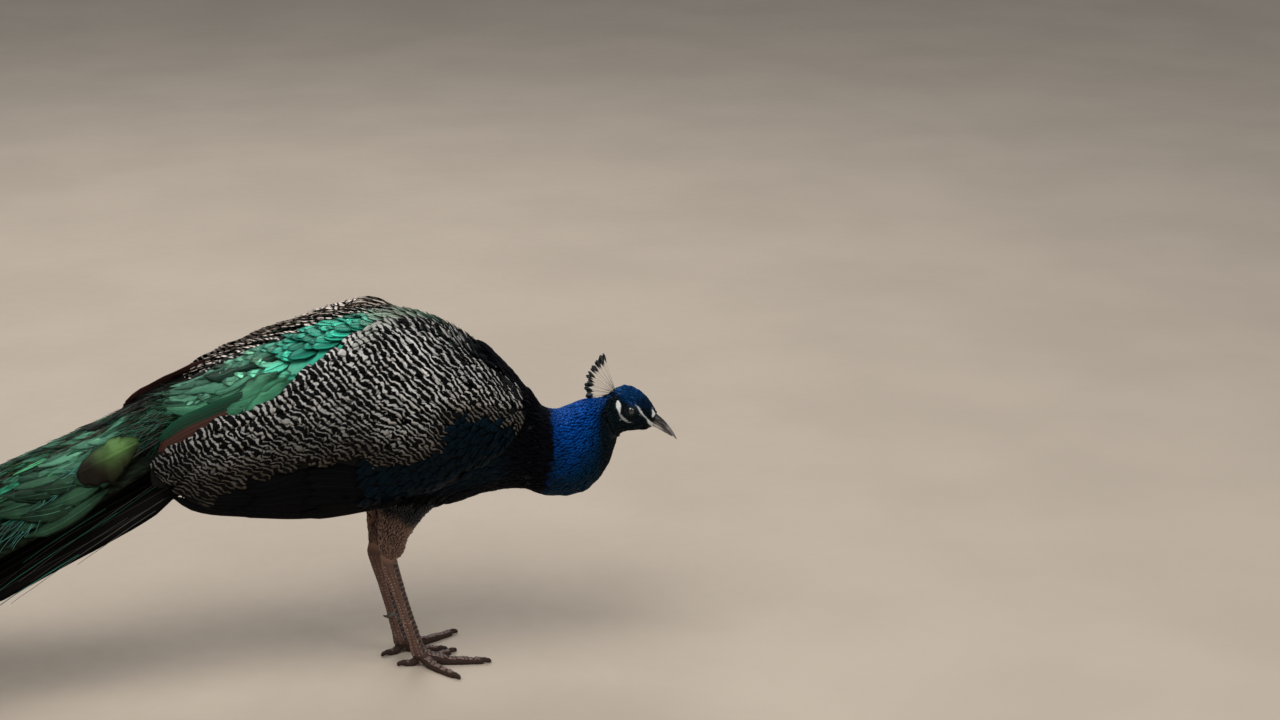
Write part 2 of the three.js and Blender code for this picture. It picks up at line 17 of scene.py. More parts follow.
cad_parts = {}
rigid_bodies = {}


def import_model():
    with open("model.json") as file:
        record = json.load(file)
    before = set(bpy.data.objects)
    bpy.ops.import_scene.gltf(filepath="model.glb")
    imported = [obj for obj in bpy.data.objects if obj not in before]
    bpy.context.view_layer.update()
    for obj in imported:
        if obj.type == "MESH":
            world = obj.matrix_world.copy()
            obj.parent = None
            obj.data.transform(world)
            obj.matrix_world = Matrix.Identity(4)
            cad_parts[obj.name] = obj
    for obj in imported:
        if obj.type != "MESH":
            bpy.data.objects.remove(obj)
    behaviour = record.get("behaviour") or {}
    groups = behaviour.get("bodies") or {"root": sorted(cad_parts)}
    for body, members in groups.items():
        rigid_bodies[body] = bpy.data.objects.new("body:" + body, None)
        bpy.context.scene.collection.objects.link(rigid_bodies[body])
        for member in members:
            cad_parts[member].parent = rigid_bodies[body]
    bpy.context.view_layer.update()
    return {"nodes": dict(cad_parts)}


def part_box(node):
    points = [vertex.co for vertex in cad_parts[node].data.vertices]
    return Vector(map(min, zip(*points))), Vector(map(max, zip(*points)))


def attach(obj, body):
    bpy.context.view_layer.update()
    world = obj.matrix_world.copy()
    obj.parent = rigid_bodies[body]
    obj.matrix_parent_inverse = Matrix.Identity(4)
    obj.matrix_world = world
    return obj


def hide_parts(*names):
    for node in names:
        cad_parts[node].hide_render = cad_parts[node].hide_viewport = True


bl_info = {
    "name": "Peacock",
    "version": (1, 0, 0),
    "blender": (4, 5, 0),
    "location": "3D View > Sidebar > Peacock",
    "description": "Dresses a life-size peacock in skin, horn and feathers",
    "category": "Object",
}

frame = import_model()
BODY = "root"
MM = 0.001
SIDES = {"right": -1, "left": 1}

# The longest train feathers end this far behind the point between the feet.
TRAIN_REACH = 1310
FEET_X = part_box("train_end")[0].x + TRAIN_REACH * MM


def place(*point):
    """Frame coordinates of a point, or an array of points, given in millimetres from between the feet."""
    return np.array(point[0] if len(point) == 1 else point, float) * MM + [FEET_X, 0, 0]


def bird_mm(points):
    """Frame coordinates back in millimetres from between the feet."""
    return (points - [FEET_X, 0, 0]) / MM


# ---------------------------------------------------------------- settings
def colour_setting(name, default, description):
    return FloatVectorProperty(
        name=name, description=description, default=default, size=3, subtype="COLOR", min=0, max=1
    )


def length_setting(name, millimetres, description):
    return FloatProperty(
        name=name, description=description, default=millimetres * MM, min=0, unit="LENGTH", subtype="DISTANCE"
    )


class PlumageColours(bpy.types.PropertyGroup):
    """Colours of the plumage and the bare parts."""

    crown: colour_setting("Crown", (0.004, 0.050, 0.17), "Small feathers of the crown")
    neck: colour_setting("Neck", (0.0008, 0.047, 0.235), "Cobalt blue of the neck")
    # Painted shade: the dark teal laid on the neck's underside and front, where shade falls.
    neck_shade: colour_setting("Neck shade", (0.0008, 0.014, 0.026), "Teal of the neck's underside")
    throat: colour_setting("Throat", (0.0006, 0.005, 0.008), "Dark throat, lores and forehead")
    breast: colour_setting("Breast", (0.0010, 0.0013, 0.0032), "Purplish black breast")
    belly: colour_setting("Belly", (0.0013, 0.0013, 0.0016), "Black belly and flanks")
    teal: colour_setting("Teal patch", (0.0015, 0.007, 0.012), "Dark teal shoulder of the wing")
    mantle: colour_setting("Mantle", (0.05, 0.10, 0.07), "Dark green scales behind the neck")
    emerald: colour_setting("Emerald", (0.033, 0.40, 0.265), "Scales of the back")
    jade: colour_setting("Jade", (0.15, 0.41, 0.26), "Ragged feathers of the rump")
    train: colour_setting("Train", (0.012, 0.15, 0.07), "Loose barbs of the train")
    bronze: colour_setting("Bronze", (0.085, 0.07, 0.022), "Bronze of the train")
    bar_pale: colour_setting("Pale bars", (0.48, 0.465, 0.44), "Cream bars of the wing coverts")
    bar_dark: colour_setting("Dark bars", (0.0018, 0.0017, 0.0018), "Black bars of the wing coverts")
    flight: colour_setting("Flight feathers", (0.0018, 0.0018, 0.0026), "Blue-black secondaries")
    chestnut: colour_setting("Chestnut", (0.055, 0.022, 0.016), "Primaries")
    tail: colour_setting("Tail", (0.005, 0.004, 0.0035), "Dark brown tail")
    thigh: colour_setting("Thigh", (0.255, 0.140, 0.098), "Buff down of the thighs")
    bare_skin: colour_setting("Bare skin", (0.66, 0.68, 0.66), "White skin beside the eye")
    leg: colour_setting("Legs", (0.105, 0.060, 0.046), "Scaled skin of the legs")
    horn: colour_setting("Horn", (0.30, 0.25, 0.20), "Bill, claws and spurs")


class CoatSizes(bpy.types.PropertyGroup):
    """Sizes of the feathers."""

    head_spacing: length_setting("Head spacing", 1.75, "Distance between the small feathers of the head")
    neck_spacing: length_setting("Neck spacing", 2.9, "Distance between the feathers of the neck")
    body_spacing: length_setting("Body spacing", 4.9, "Distance between the feathers of the breast and belly")
    thigh_spacing: length_setting("Thigh spacing", 2.9, "Distance between the tufts of the thighs")
    bar_pitch: length_setting("Bar pitch", 6.6, "Distance from one dark bar to the next")
    seed: IntProperty(name="Seed", description="Start of every random draw", default=7, min=0)


class StageSettings(bpy.types.PropertyGroup):
    """Floor, light and lens."""

    floor: colour_setting("Floor", (0.49, 0.415, 0.335), "Plain pale floor")
    key_power: FloatProperty(
        name="Key light", description="Power of the large soft light", default=120, unit="POWER"
    )
    lens: FloatProperty(name="Lens", description="Focal length", default=70.03, min=1, unit="CAMERA")


def colours():
    return bpy.context.scene.peacock_colours


def sizes():
    return bpy.context.scene.peacock_sizes


def rgb(name):
    return np.array(getattr(colours(), name)[:])


# ---------------------------------------------------------------- numbers
def unit(vectors):
    return vectors / np.maximum(np.linalg.norm(vectors, axis=-1, keepdims=True), 1e-12)


def ease(value, start, end):
    """0 before start, 1 after end, and smooth between them."""
    t = np.clip((np.asarray(value, float) - start) / (end - start), 0, 1)
    return t * t * (3 - 2 * t)


def blend_to(base, colour, amount):
    return base + (np.asarray(colour) - base) * np.asarray(amount)[..., None]


def wobble(points, size, seed=0):
    """Smooth random-looking value between about -1 and 1 that changes over `size` metres."""
    turn = np.random.default_rng(1000 + seed).uniform(-1, 1, (5, 3))
    phase = np.arange(5) * 1.7 + seed
    return np.sin(points / size @ unit(turn).T * 4.1 + phase).mean(-1) * 1.6


# ---------------------------------------------------------------- head frame
HEAD_YAW, HEAD_TILT = math.radians(-20), math.radians(31)
EYE_SPOT = np.array([-3.4, 18.2, 4.9])  # from the middle of the skull, in the head's own axes
EYE_RADIUS = 6.4
EYE_MIDDLE = (sum(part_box("eye_right"), Vector()) + sum(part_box("eye_left"), Vector())) / 4
HEAD_TURN = Matrix.Rotation(HEAD_YAW, 3, "Z") @ Matrix.Rotation(HEAD_TILT, 3, "Y")
HEAD_ORIGIN = EYE_MIDDLE - HEAD_TURN @ Vector((EYE_SPOT[0] * MM, 0, EYE_SPOT[2] * MM))


def in_head(points):
    """Head coordinates in millimetres: x to the bill, y to the left, z to the crown."""
    return (np.asarray(points) - np.array(HEAD_ORIGIN)) @ np.array(HEAD_TURN) / MM


def from_head(points):
    return np.asarray(points, float) * MM @ np.array(HEAD_TURN).T + np.array(HEAD_ORIGIN)


# ---------------------------------------------------------------- lie of the coat
# Guide lines run the way the feathers point, in millimetres.
SPINE_LINE = [
    (318, -26, 303), (300, -19, 314), (282, -14, 321), (264, -10, 312), (247, -5, 296), (229, -1, 281),
    (202, 0, 267), (168, 0, 278), (128, 0, 304), (76, 0, 322), (19, 0, 335), (-50, 0, 340), (-125, 0, 341),
    (-199, 0, 345), (-290, 0, 330),
]
WING_LINE = [
    (150, 62, 338), (124, 84, 352), (70, 104, 348), (-10, 112, 336), (-110, 104, 318), (-220, 90, 300),
    (-330, 76, 280),
]
THIGH_LINE = [(8, 50, 250), (-4, 46, 215), (-16, 37, 188), (-22, 27, 163), (-23, 23, 140)]
SIDE_LINES = ((WING_LINE, 0.55), (THIGH_LINE, 0.9))
GUIDES = [(SPINE_LINE, 1, 1.0)]
GUIDES += [(line, side, weight) for side in SIDES.values() for line, weight in SIDE_LINES]


def guide_segments():
    middles, ways, weights = [], [], []
    for line, side, weight in GUIDES:
        points = place(line) * [1, side, 1]
        middles.append((points[1:] + points[:-1]) / 2)
        ways.append(unit(points[1:] - points[:-1]))
        weights.append(np.full(len(points) - 1, weight))
    return np.concatenate(middles), np.concatenate(ways), np.concatenate(weights)


GUIDE_MIDDLES, GUIDE_WAYS, GUIDE_WEIGHTS = guide_segments()


def lie_of_coat(points, normals):
    """Direction in which a feather rooted at each point lies, along the surface."""
    gap = ((points[:, None] - GUIDE_MIDDLES[None]) ** 2).sum(-1)
    share = GUIDE_WEIGHTS / (gap + 0.012**2) ** 2
    way = unit(share @ GUIDE_WAYS)
    return unit(way - normals * (way * normals).sum(-1, keepdims=True))


def unwrap(points):
    """Unwrap of the body: turn round its long axis, and distance along it, both from 0 to 1."""
    line = place(SPINE_LINE + [(-420, 0, 280), (-650, 0, 180), (-1000, 0, 30), (-1330, 0, 5)])
    middles = (line[1:] + line[:-1]) / 2
    steps = line[1:] - line[:-1]
    reach = np.concatenate([[0], np.cumsum(np.linalg.norm(steps, axis=1))])
    nearest = ((points[:, None] - middles[None]) ** 2).sum(-1).argmin(1)
    way = unit(steps)[nearest]
    offset = points - line[nearest]
    along = (offset * way).sum(-1)
    offset = offset - way * along[:, None]
    across = unit(np.cross([0, 0, 1], way))
    up = np.cross(way, across)
    turn = np.arctan2((offset * across).sum(-1), (offset * up).sum(-1))
    return np.stack([turn / (2 * np.pi) + 0.5, np.clip((reach[nearest] + along) / reach[-1], 0, 1)], 1)


# ---------------------------------------------------------------- markings
EAR_PATCH = [(-24.5, 8.5), (-19, 2), (-13.5, -4)]  # white skin behind the eye
CHEEK_LINE = [(-14, -4.5), (-7, -8), (1, -9), (8, -7)]  # greyer skin on under the eye
FACE_STREAK = [(-2, 15), (5, 11.5), (12, 7.5), (20, 4.5)]  # from over the eye to the gape
BILL_PATCH = [(19, 16.5), (23.5, 13), (24, 10)]  # beside the root of the upper bill
GAPE_PATCH = [(20.5, 4), (24, 2), (30, -0.5)]  # corner of the mouth
BARE_MARKS = (  # line, half width along it, and how white it is
    (EAR_PATCH, (0.4, 2.7, 3.1, 1.6, 0.5), 1.0),
    (CHEEK_LINE, (0.6, 1.5, 1.6, 1.2, 0.4), 0.42),
    (FACE_STREAK, (0.2, 0.8, 1.3, 0.6, 0.5), 0.75),
    (BILL_PATCH, (0.5, 1.3, 1.7, 1.0), 0.85),
    (GAPE_PATCH, (0.5, 1.5, 2.2, 2.2), 0.9),
)


def distance_to_line(points, line):
    """Distance from points (N, 2) to a line of points, and how far along it the nearest place is, 0 to 1."""
    line = np.array(line, float)
    best, where = np.full(len(points), np.inf), np.zeros(len(points))
    for i in range(len(line) - 1):
        step = line[i + 1] - line[i]
        t = np.clip(((points - line[i]) @ step) / (step @ step), 0, 1)
        gap = np.linalg.norm(points - (line[i] + t[:, None] * step), axis=1)
        nearer = gap < best
        best[nearer], where[nearer] = gap[nearer], (i + t[nearer]) / (len(line) - 1)
    return best, where


def bare_face(points):
    """How bare the face is at each point: 1 on white skin, 0 under feathers."""
    local = in_head(points)
    side_view = local[:, [0, 2]]
    beside = (np.abs(local[:, 1]) > 5) & (np.linalg.norm(local, axis=1) < 45)
    bare = np.zeros(len(points))
    for line, halves, white in BARE_MARKS:
        gap, where = distance_to_line(side_view, line)
        half = np.interp(where, np.linspace(0, 1, len(halves)), halves)
        bare = np.maximum(bare, white * (1 - ease(gap, half - 0.4, half + 0.4)))
    return bare * beside


def eye_distance(points):
    local = in_head(points)
    local[:, 1] = np.abs(local[:, 1])
    return np.linalg.norm(local - EYE_SPOT, axis=1)


def markings(points, normals, region):
    """Colour of skin and coat at each point, with painted shade on the neck and the feet and a painted
    highlight behind the near shank, and with how much it shimmers as the fourth value.
    """
    x, y, z = bird_mm(points).T
    uneven = wobble(points, 0.018, 1)
    tone = np.tile(rgb("belly"), (len(points), 1))
    shine = np.full(len(points), 0.25)

    def paint(name, amount, shimmer=None):
        nonlocal tone, shine
        tone = blend_to(tone, rgb(name), amount)
        if shimmer is not None:
            shine = shine + (shimmer - shine) * amount

    up = normals[:, 2]
    along_neck = x - 0.12 * (z - 270)
    paint("breast", ease(x, 20, 90), 0.35)
    wrist = ease(x, -10, 30) * (1 - ease(x, 105, 135)) * ease(z, 246, 262) * (1 - ease(z, 335, 352))
    paint("teal", wrist, 0.5)
    back = ease(z - np.interp(x, [-470, -235, -100, 0, 105], [190, 315, 372, 385, 345]), 0, 30)
    back = back * (np.abs(y) < 62 + 28 * ease(x, -200, -150))
    back = np.maximum(back, region.get("back", 0)) * (1 - ease(x, 58, 92))
    paint("mantle", back, 0.5)
    emerald = back * (1 - ease(x + 12 * uneven, -20, 20))
    paint("emerald", emerald, 0.9)
    paint("jade", emerald * (1 - ease(x + 15 * uneven, -170, -115)), 0.6)
    neck = ease(along_neck + 2 * uneven, 178, 183)
    paint("neck", neck, 1.0)
    # Painted shade: the neck turns dark teal on its underside and towards its front.
    paint("neck_shade", neck * ease(-up - 0.15 * uneven, -0.75, 0.4) * 0.94)
    paint("neck_shade", neck * ease(x - 0.35 * (z - 290) + 4 * uneven, 216, 250) * 0.6)
    local = in_head(points)
    head = ease(local[:, 0], -44, -30) * (np.linalg.norm(local, axis=1) < 60) * ease(x, 236, 250)
    paint("crown", head * ease(local[:, 2], 4, 12), 0.9)
    face = ease(local[:, 0], -36, -30) * (1 - ease(local[:, 2] - 0.12 * np.abs(local[:, 0] + 10), 9, 14))
    paint("throat", face * ease(x, 236, 246), 0.3)
    paint("throat", head * ease(local[:, 0] + 3 * uneven, -8, 12) * 0.82, 0.3)
    thigh = region["thigh"]
    paint("belly", thigh, 0.1)
    paint("thigh", thigh * (1 - ease(z + 0.44 * x + 5 * uneven, 199, 215)), 0.0)
    paint("leg", region["leg"], 0.0)
    # Painted highlight: a pale buff line down the rear edge of the near shank, where the light falls on it.
    paint("thigh", region["leg"] * ease(-normals[:, 0], 0.75, 0.95) * (y < 0) * (z > 16) * 0.9)
    # Painted shade: the feet and the lowest part of the shanks are darker towards the floor.
    tone = tone * (1 - 0.62 * region["leg"] * (1 - ease(z, 10, 24)))[:, None]
    paint("bar_dark", region["coverts"] * 0.7, 0.1)
    paint("flight", region["secondaries"], 0.3)
    paint("bare_skin", bare_face(points), 0.0)
    return np.concatenate([tone, shine[:, None]], 1)


# ---------------------------------------------------------------- meshes
def object_of(name, mesh, *materials):
    piece = bpy.data.objects.new(name, mesh)
    bpy.context.scene.collection.objects.link(piece)
    for material in materials:
        mesh.materials.append(material)
    return piece


def smooth(mesh):
    mesh.polygons.foreach_set("use_smooth", np.ones(len(mesh.polygons), bool))
    return mesh


def mesh_of(name, points, faces):
    """Mesh from points and a list of faces of any size, smooth shaded."""
    mesh = bpy.data.meshes.new(name)
    mesh.from_pydata(np.asarray(points).tolist(), [], faces)
    mesh.update()
    return smooth(mesh)


def corners_of(faces):
    """Point indices of all corners, face after face."""
    return np.concatenate([np.array(face) for face in faces])


def repeated_mesh(name, points, faces):
    """Mesh of many like shapes. points is (count, size, 3), and faces are those of one shape."""
    count, size = points.shape[:2]
    corners = corners_of(faces)
    starts = np.concatenate([[0], np.cumsum([len(face) for face in faces])[:-1]])
    repeats = np.arange(count)[:, None]
    mesh = bpy.data.meshes.new(name)
    mesh.vertices.add(count * size)
    mesh.vertices.foreach_set("co", points.reshape(-1).astype(np.float32))
    mesh.loops.add(count * len(corners))
    mesh.polygons.add(count * len(faces))
    mesh.polygons.foreach_set("loop_start", (repeats * len(corners) + starts).ravel())
    mesh.polygons.foreach_set("vertices", (repeats * size + corners).ravel())
    smooth(mesh).update(calc_edges=True)
    mesh.validate()
    return mesh


def rows_of(source, key, mesh, width=3):
    """Values of every point of a mesh, a row for each."""
    flat = np.zeros(len(mesh.vertices) * width, np.float32)
    source.foreach_get(key, flat)
    return flat.reshape(-1, width).astype(float)


def vertex_array(mesh):
    return rows_of(mesh.vertices, "co", mesh)


def vertex_normals(mesh):
    return rows_of(mesh.vertex_normals, "vector", mesh)


def set_points(mesh, points):
    mesh.vertices.foreach_set("co", points.reshape(-1).astype(np.float32))
    mesh.update()


ATTRIBUTE_ROWS = {"FLOAT": ("value", 1), "FLOAT_VECTOR": ("vector", 3), "FLOAT_COLOR": ("color", 4)}
KIND_OF_WIDTH = {width: kind for kind, (_, width) in ATTRIBUTE_ROWS.items()}


def store(mesh, name, values):
    """Keeps a value, a vector or a colour for every point of a mesh."""
    values = np.asarray(values, np.float32)
    kind = KIND_OF_WIDTH[values.size // len(mesh.vertices)]
    layer = mesh.attributes.get(name) or mesh.attributes.new(name, kind, "POINT")
    layer.data.foreach_set(ATTRIBUTE_ROWS[kind][0], values.ravel())


def fetch(mesh, name):
    layer = mesh.attributes[name]
    key, width = ATTRIBUTE_ROWS[layer.data_type]
    return rows_of(layer.data, key, mesh, width).squeeze()


def evaluated_mesh(piece):
    graph = bpy.context.evaluated_depsgraph_get()
    return bpy.data.meshes.new_from_object(piece.evaluated_get(graph), depsgraph=graph)


def discard(piece):
    mesh = piece.data
    bpy.data.objects.remove(piece)
    bpy.data.meshes.remove(mesh)


def outward(mesh):
    """Turns all faces outwards and drops points that no face uses."""
    shell = bmesh.new()
    shell.from_mesh(mesh)
    bmesh.ops.delete(shell, geom=[v for v in shell.verts if not v.link_faces], context="VERTS")
    bmesh.ops.recalc_face_normals(shell, faces=shell.faces)
    shell.to_mesh(mesh)
    shell.free()


def node_shell(*names):
    """Points and faces of CAD nodes, each a closed shell with merged corners."""
    points, faces = [], []
    for name in names:
        shell = bmesh.new()
        shell.from_mesh(frame["nodes"][name].data)
        bmesh.ops.remove_doubles(shell, verts=shell.verts, dist=1e-5)
        first = len(points)
        shell.verts.index_update()
        points += [tuple(v.co) for v in shell.verts]
        faces += [[first + v.index for v in face.verts] for face in shell.faces]
        shell.free()
    return points, faces


def fused(points, faces, voxel, rounds):
    """One smooth closed mesh round overlapping or touching shells."""
    rough = object_of("rough", mesh_of("rough", points, faces))
    remesh = rough.modifiers.new("fuse", "REMESH")
    remesh.mode = "VOXEL"
    remesh.voxel_size = voxel
    rough.modifiers.new("soften", "SMOOTH").iterations = rounds
    mesh = evaluated_mesh(rough)
    discard(rough)
    return smooth(mesh)


def finish(piece, nodes=()):
    """Puts a finished piece on the bird's only body and the nodes it stands for."""
    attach(piece, BODY)
    if nodes:
        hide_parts(*nodes)


# ---------------------------------------------------------------- node trees
class Value:
    """Output of a node. Arithmetic on it adds Math nodes."""

    def __init__(self, graph, socket):
        self.graph, self.socket = graph, socket

    def __add__(self, other):
        return self.graph.math("ADD", self, other)

    def __radd__(self, other):
        return self.graph.math("ADD", other, self)

    def __sub__(self, other):
        return self.graph.math("SUBTRACT", self, other)

    def __rsub__(self, other):
        return self.graph.math("SUBTRACT", other, self)

    def __mul__(self, other):
        return self.graph.math("MULTIPLY", self, other)


class Graph:
    """Short hand for a node tree."""

    def __init__(self, tree):
        self.tree = tree

    def feed(self, socket, source):
        """Links an output to an input, or sets the input. A colour needs no alpha."""
        if isinstance(source, bpy.types.Node):
            source = source.outputs[0]
        if isinstance(source, Value):
            source = source.socket
        if isinstance(source, bpy.types.NodeSocket):
            self.tree.links.new(source, socket)
        elif source is not None:
            socket.default_value = (*source[:3], 1.0) if socket.type == "RGBA" else source

    def node(self, kind, *sources, **named):
        """New node. Sources feed its first inputs, capitalised names feed others, the rest are settings."""
        made = self.tree.nodes.new(kind)
        count = len(self.tree.nodes)
        made.location = (220 * (count % 9), -200 * (count // 9))
        for key, value in named.items():
            if not key[0].isupper():
                setattr(made, key, value)
        for socket, source in zip(made.inputs, sources):
            self.feed(socket, source)
        for key, source in named.items():
            if key[0].isupper():
                self.feed(made.inputs[key.replace("_", " ")], source)
        return made

    def value(self, kind, *sources, output=0, **named):
        return Value(self, self.node(kind, *sources, **named).outputs[output])

    def math(self, operation, *sources):
        return self.value("ShaderNodeMath", *sources, operation=operation)

    def mix(self, amount, first, second, how="MIX"):
        made = self.node("ShaderNodeMix", data_type="RGBA", blend_type=how)
        for index, source in ((0, amount), (6, first), (7, second)):
            self.feed(made.inputs[index], source)
        return made.outputs[2]

    def shaded(self, colour, light):
        """Colour times a grey value."""
        return self.mix(1.0, colour, self.node("ShaderNodeCombineColor", light, light, light), "MULTIPLY")

    def ramp(self, value, start, end, low=0.0, high=1.0):
        return self.value("ShaderNodeMapRange", value, start, end, low, high, interpolation_type="SMOOTHSTEP")

    def noise(self, scale, detail=2.0, stretch=None):
        """Noise in the object's own coordinates, which may be stretched."""
        where = self.node("ShaderNodeTexCoord").outputs["Object"]
        if stretch:
            where = self.node("ShaderNodeMapping", where, Scale=stretch)
        return self.value("ShaderNodeTexNoise", Vector=where, Scale=scale, Detail=detail)

    def patchy(self, scale, low, high):
        """Value that changes between low and high from patch to patch."""
        return self.ramp(self.noise(scale), 0.3, 0.7, low, high)

    def attribute(self, name, output="Fac"):
        return self.value("ShaderNodeAttribute", attribute_name=name, output=output)

    def stored(self, name, kind="FLOAT_VECTOR"):
        """Attribute of the points in a geometry tree."""
        return self.value("GeometryNodeInputNamedAttribute", data_type=kind, Name=name, output="Attribute")

    def uv(self, name):
        """The two coordinates of a UV map."""
        apart = self.node("ShaderNodeSeparateXYZ", self.node("ShaderNodeUVMap", uv_map=name))
        return Value(self, apart.outputs[0]), Value(self, apart.outputs[1])

    def placed(self, build, **values):
        """Node of a shared group, which is built when it is first used."""
        name = build.__name__.replace("_", " ").title()
        tree = bpy.data.node_groups.get(name) or build(name)
        return self.node("ShaderNodeGroup", node_tree=tree, **values)


class Finish(Graph):
    """Node tree of a new material."""

    def __init__(self, name):
        self.material = bpy.data.materials.new(name)
        self.material.use_nodes = True
        super().__init__(self.material.node_tree)

    def surface(self, height, depth, strength=1.0, **inputs):
        """Feeds the shader's inputs and a bump of `depth` millimetres, and gives the finished material."""
        bump = self.node("ShaderNodeBump", Strength=strength, Distance=depth * MM, Height=height)
        for key, source in {**inputs, "Normal": bump}.items():
            self.feed(self.tree.nodes["Principled BSDF"].inputs[key.replace("_", " ")], source)
        return self.material


SOCKETS = {
    "value": "NodeSocketFloat",
    "whole": "NodeSocketInt",
    "colour": "NodeSocketColor",
    "object": "NodeSocketObject",
    "material": "NodeSocketMaterial",
    "geometry": "NodeSocketGeometry",
}


def group_tree(name, kind, inputs, outputs):
    """Empty node group with named inputs (kind, default) and outputs (kind)."""
    tree = bpy.data.node_groups.new(name, kind)
    for key, (socket_kind, default) in inputs.items():
        socket = tree.interface.new_socket(key, in_out="INPUT", socket_type=SOCKETS[socket_kind])
        if default is not None:
            socket.default_value = default
    for key, socket_kind in outputs.items():
        tree.interface.new_socket(key, in_out="OUTPUT", socket_type=SOCKETS[socket_kind])
    graph = Graph(tree)
    given = graph.node("NodeGroupInput").outputs
    return graph, {key: Value(graph, given[key]) for key in inputs}, graph.node("NodeGroupOutput").inputs


GREY = (0.1, 0.1, 0.1, 1)
WAVE = 6.283  # one full turn of a sine


def vane_finish(name):
    """Barbs, shaft, edge, unevenness and painted shade towards the root of a vane: everything that repeats on
    every feather.
    """
    inputs = {
        "Tint": ("colour", GREY),
        "Shaft": ("colour", GREY),
        "Barbs": ("value", 30.0),
        "Shaft Width": ("value", 0.06),
        "Edge Shade": ("value", 0.3),
        "Unevenness": ("value", 0.3),
    }
    outputs = {"Color": "colour", "Height": "value", "Rib": "value"}
    graph, given, result = group_tree(name, "ShaderNodeTree", inputs, outputs)
    across, along = graph.uv("vane")
    aside = graph.math("ABSOLUTE", across - 0.5)
    slanted = along - aside * 0.55 + graph.noise(420.0, 3.0) * 0.05
    rib = graph.math("SINE", slanted * given["Barbs"] * WAVE)
    shaft = graph.ramp(aside, given["Shaft Width"], given["Shaft Width"] * 0.4)
    swing = (graph.noise(70.0) - 0.5) + (graph.attribute("chance") - 0.5)
    # Edge Shade darkens the edges, as a dark fringe and as painted shade where vanes overlap; below zero it
    # lightens them. Towards the root each vane gets painted shade, where the vanes above lie over it.
    edge = graph.ramp(aside, 0.3, 0.5) * given["Edge Shade"]
    root = graph.ramp(along, 0.35, 0.0) * 0.45
    light = (1.0 + swing * given["Unevenness"]) * (1.0 - edge) * (1.0 - root) * (0.93 + rib * 0.1)
    graph.feed(result["Color"], graph.mix(shaft * 0.8, graph.shaded(given["Tint"], light), given["Shaft"]))
    graph.feed(result["Height"], rib * 0.5 + shaft * 2)
    graph.feed(result["Rib"], rib)
    return graph.tree


def wavy_bars(name):
    """Wavy bars from the number of bars stored along the wing. The alpha of the tint wipes them out."""
    inputs = {"Pale": ("colour", GREY), "Dark": ("colour", GREY)}
    graph, given, result = group_tree(name, "ShaderNodeTree", inputs, {"Color": "colour", "Mask": "value"})
    coarse = (graph.noise(42.0, 1.0) - 0.5) * 1.9
    fine = (graph.noise(210.0) - 0.5) * 0.75
    wave = graph.math("SINE", (graph.attribute("bar") + (coarse + fine)) * WAVE)
    width = (graph.noise(52.0, 1.0) - 0.5) * 1.9 - graph.attribute("tint", "Alpha") * 1.7
    mask = graph.ramp(wave + width, -0.64, -0.36)
    smudge = 0.72 + graph.noise(900.0) * 0.5
    graph.feed(result["Color"], graph.mix(mask, graph.shaded(given["Pale"], smudge), given["Dark"]))
    graph.feed(result["Mask"], mask)
    return graph.tree


def vane_material(name, roughness=0.5, shine=None, barbs=30.0, shaft=None, shaft_width=0.06, edge=0.3,
                  unevenness=0.3, sheen=0.0, relief=0.12, gloss=0.10):
    """Feather finish in the stored tint. Its alpha says how much it shimmers, unless shine is given."""
    graph = Finish(name)
    base = graph.attribute("tint", "Color")
    vane = graph.placed(
        vane_finish, Tint=base, Shaft=base if shaft is None else shaft, Barbs=barbs, Shaft_Width=shaft_width,
        Edge_Shade=edge, Unevenness=unevenness,
    )
    if shine is None:
        shine = graph.attribute("tint", "Alpha") * 0.8
        rough = roughness + Value(graph, vane.outputs["Rib"]) * 0.05
    else:
        rough = graph.patchy(250.0, roughness - 0.06, roughness + 0.06)
    return graph.surface(vane.outputs["Height"], relief, Base_Color=vane, Metallic=shine, Roughness=rough,
                         Sheen_Weight=sheen, Specular_IOR_Level=gloss)


# ---------------------------------------------------------------- vanes
def vane_form(rows, columns):
    """Faces of one closed vane, a grid on top and two strips below that meet under the shaft, and its map."""
    size = columns + 1

    def at(row, column):
        return row * size + column

    faces = []
    for k in range(rows):
        for c in range(columns - 1):
            faces.append((at(k, c), at(k + 1, c), at(k + 1, c + 1), at(k, c + 1)))
        faces.append((at(k, 0), at(k, columns), at(k + 1, columns), at(k + 1, 0)))
        faces.append((at(k, columns), at(k, columns - 1), at(k + 1, columns - 1), at(k + 1, columns)))
    faces.append(tuple(at(0, c) for c in range(columns + 1)))
    faces.append(tuple(at(rows, c) for c in range(columns, -1, -1)))
    return faces, form_map(rows, np.append(np.linspace(0, 1, columns), 0.5))


def form_map(rows, across):
    """Across and along, both 0 to 1, for each point of one vane or strip."""
    along = np.linspace(0, 1, rows + 1)
    return np.stack(np.broadcast_arrays(across[None, :], along[:, None]), -1).reshape(-1, 2)


def corner_layer(mesh, name, values):
    layer = mesh.uv_layers.get(name) or mesh.uv_layers.new(name=name)
    layer.data.foreach_set("uv", values.ravel().astype(np.float32))


PATCH = 0.003  # each tuft's share of the bake map
MAP_EDGE, MAP_SIDE = 0.01, 0.96  # where the patches start on the bake map, and how far they reach


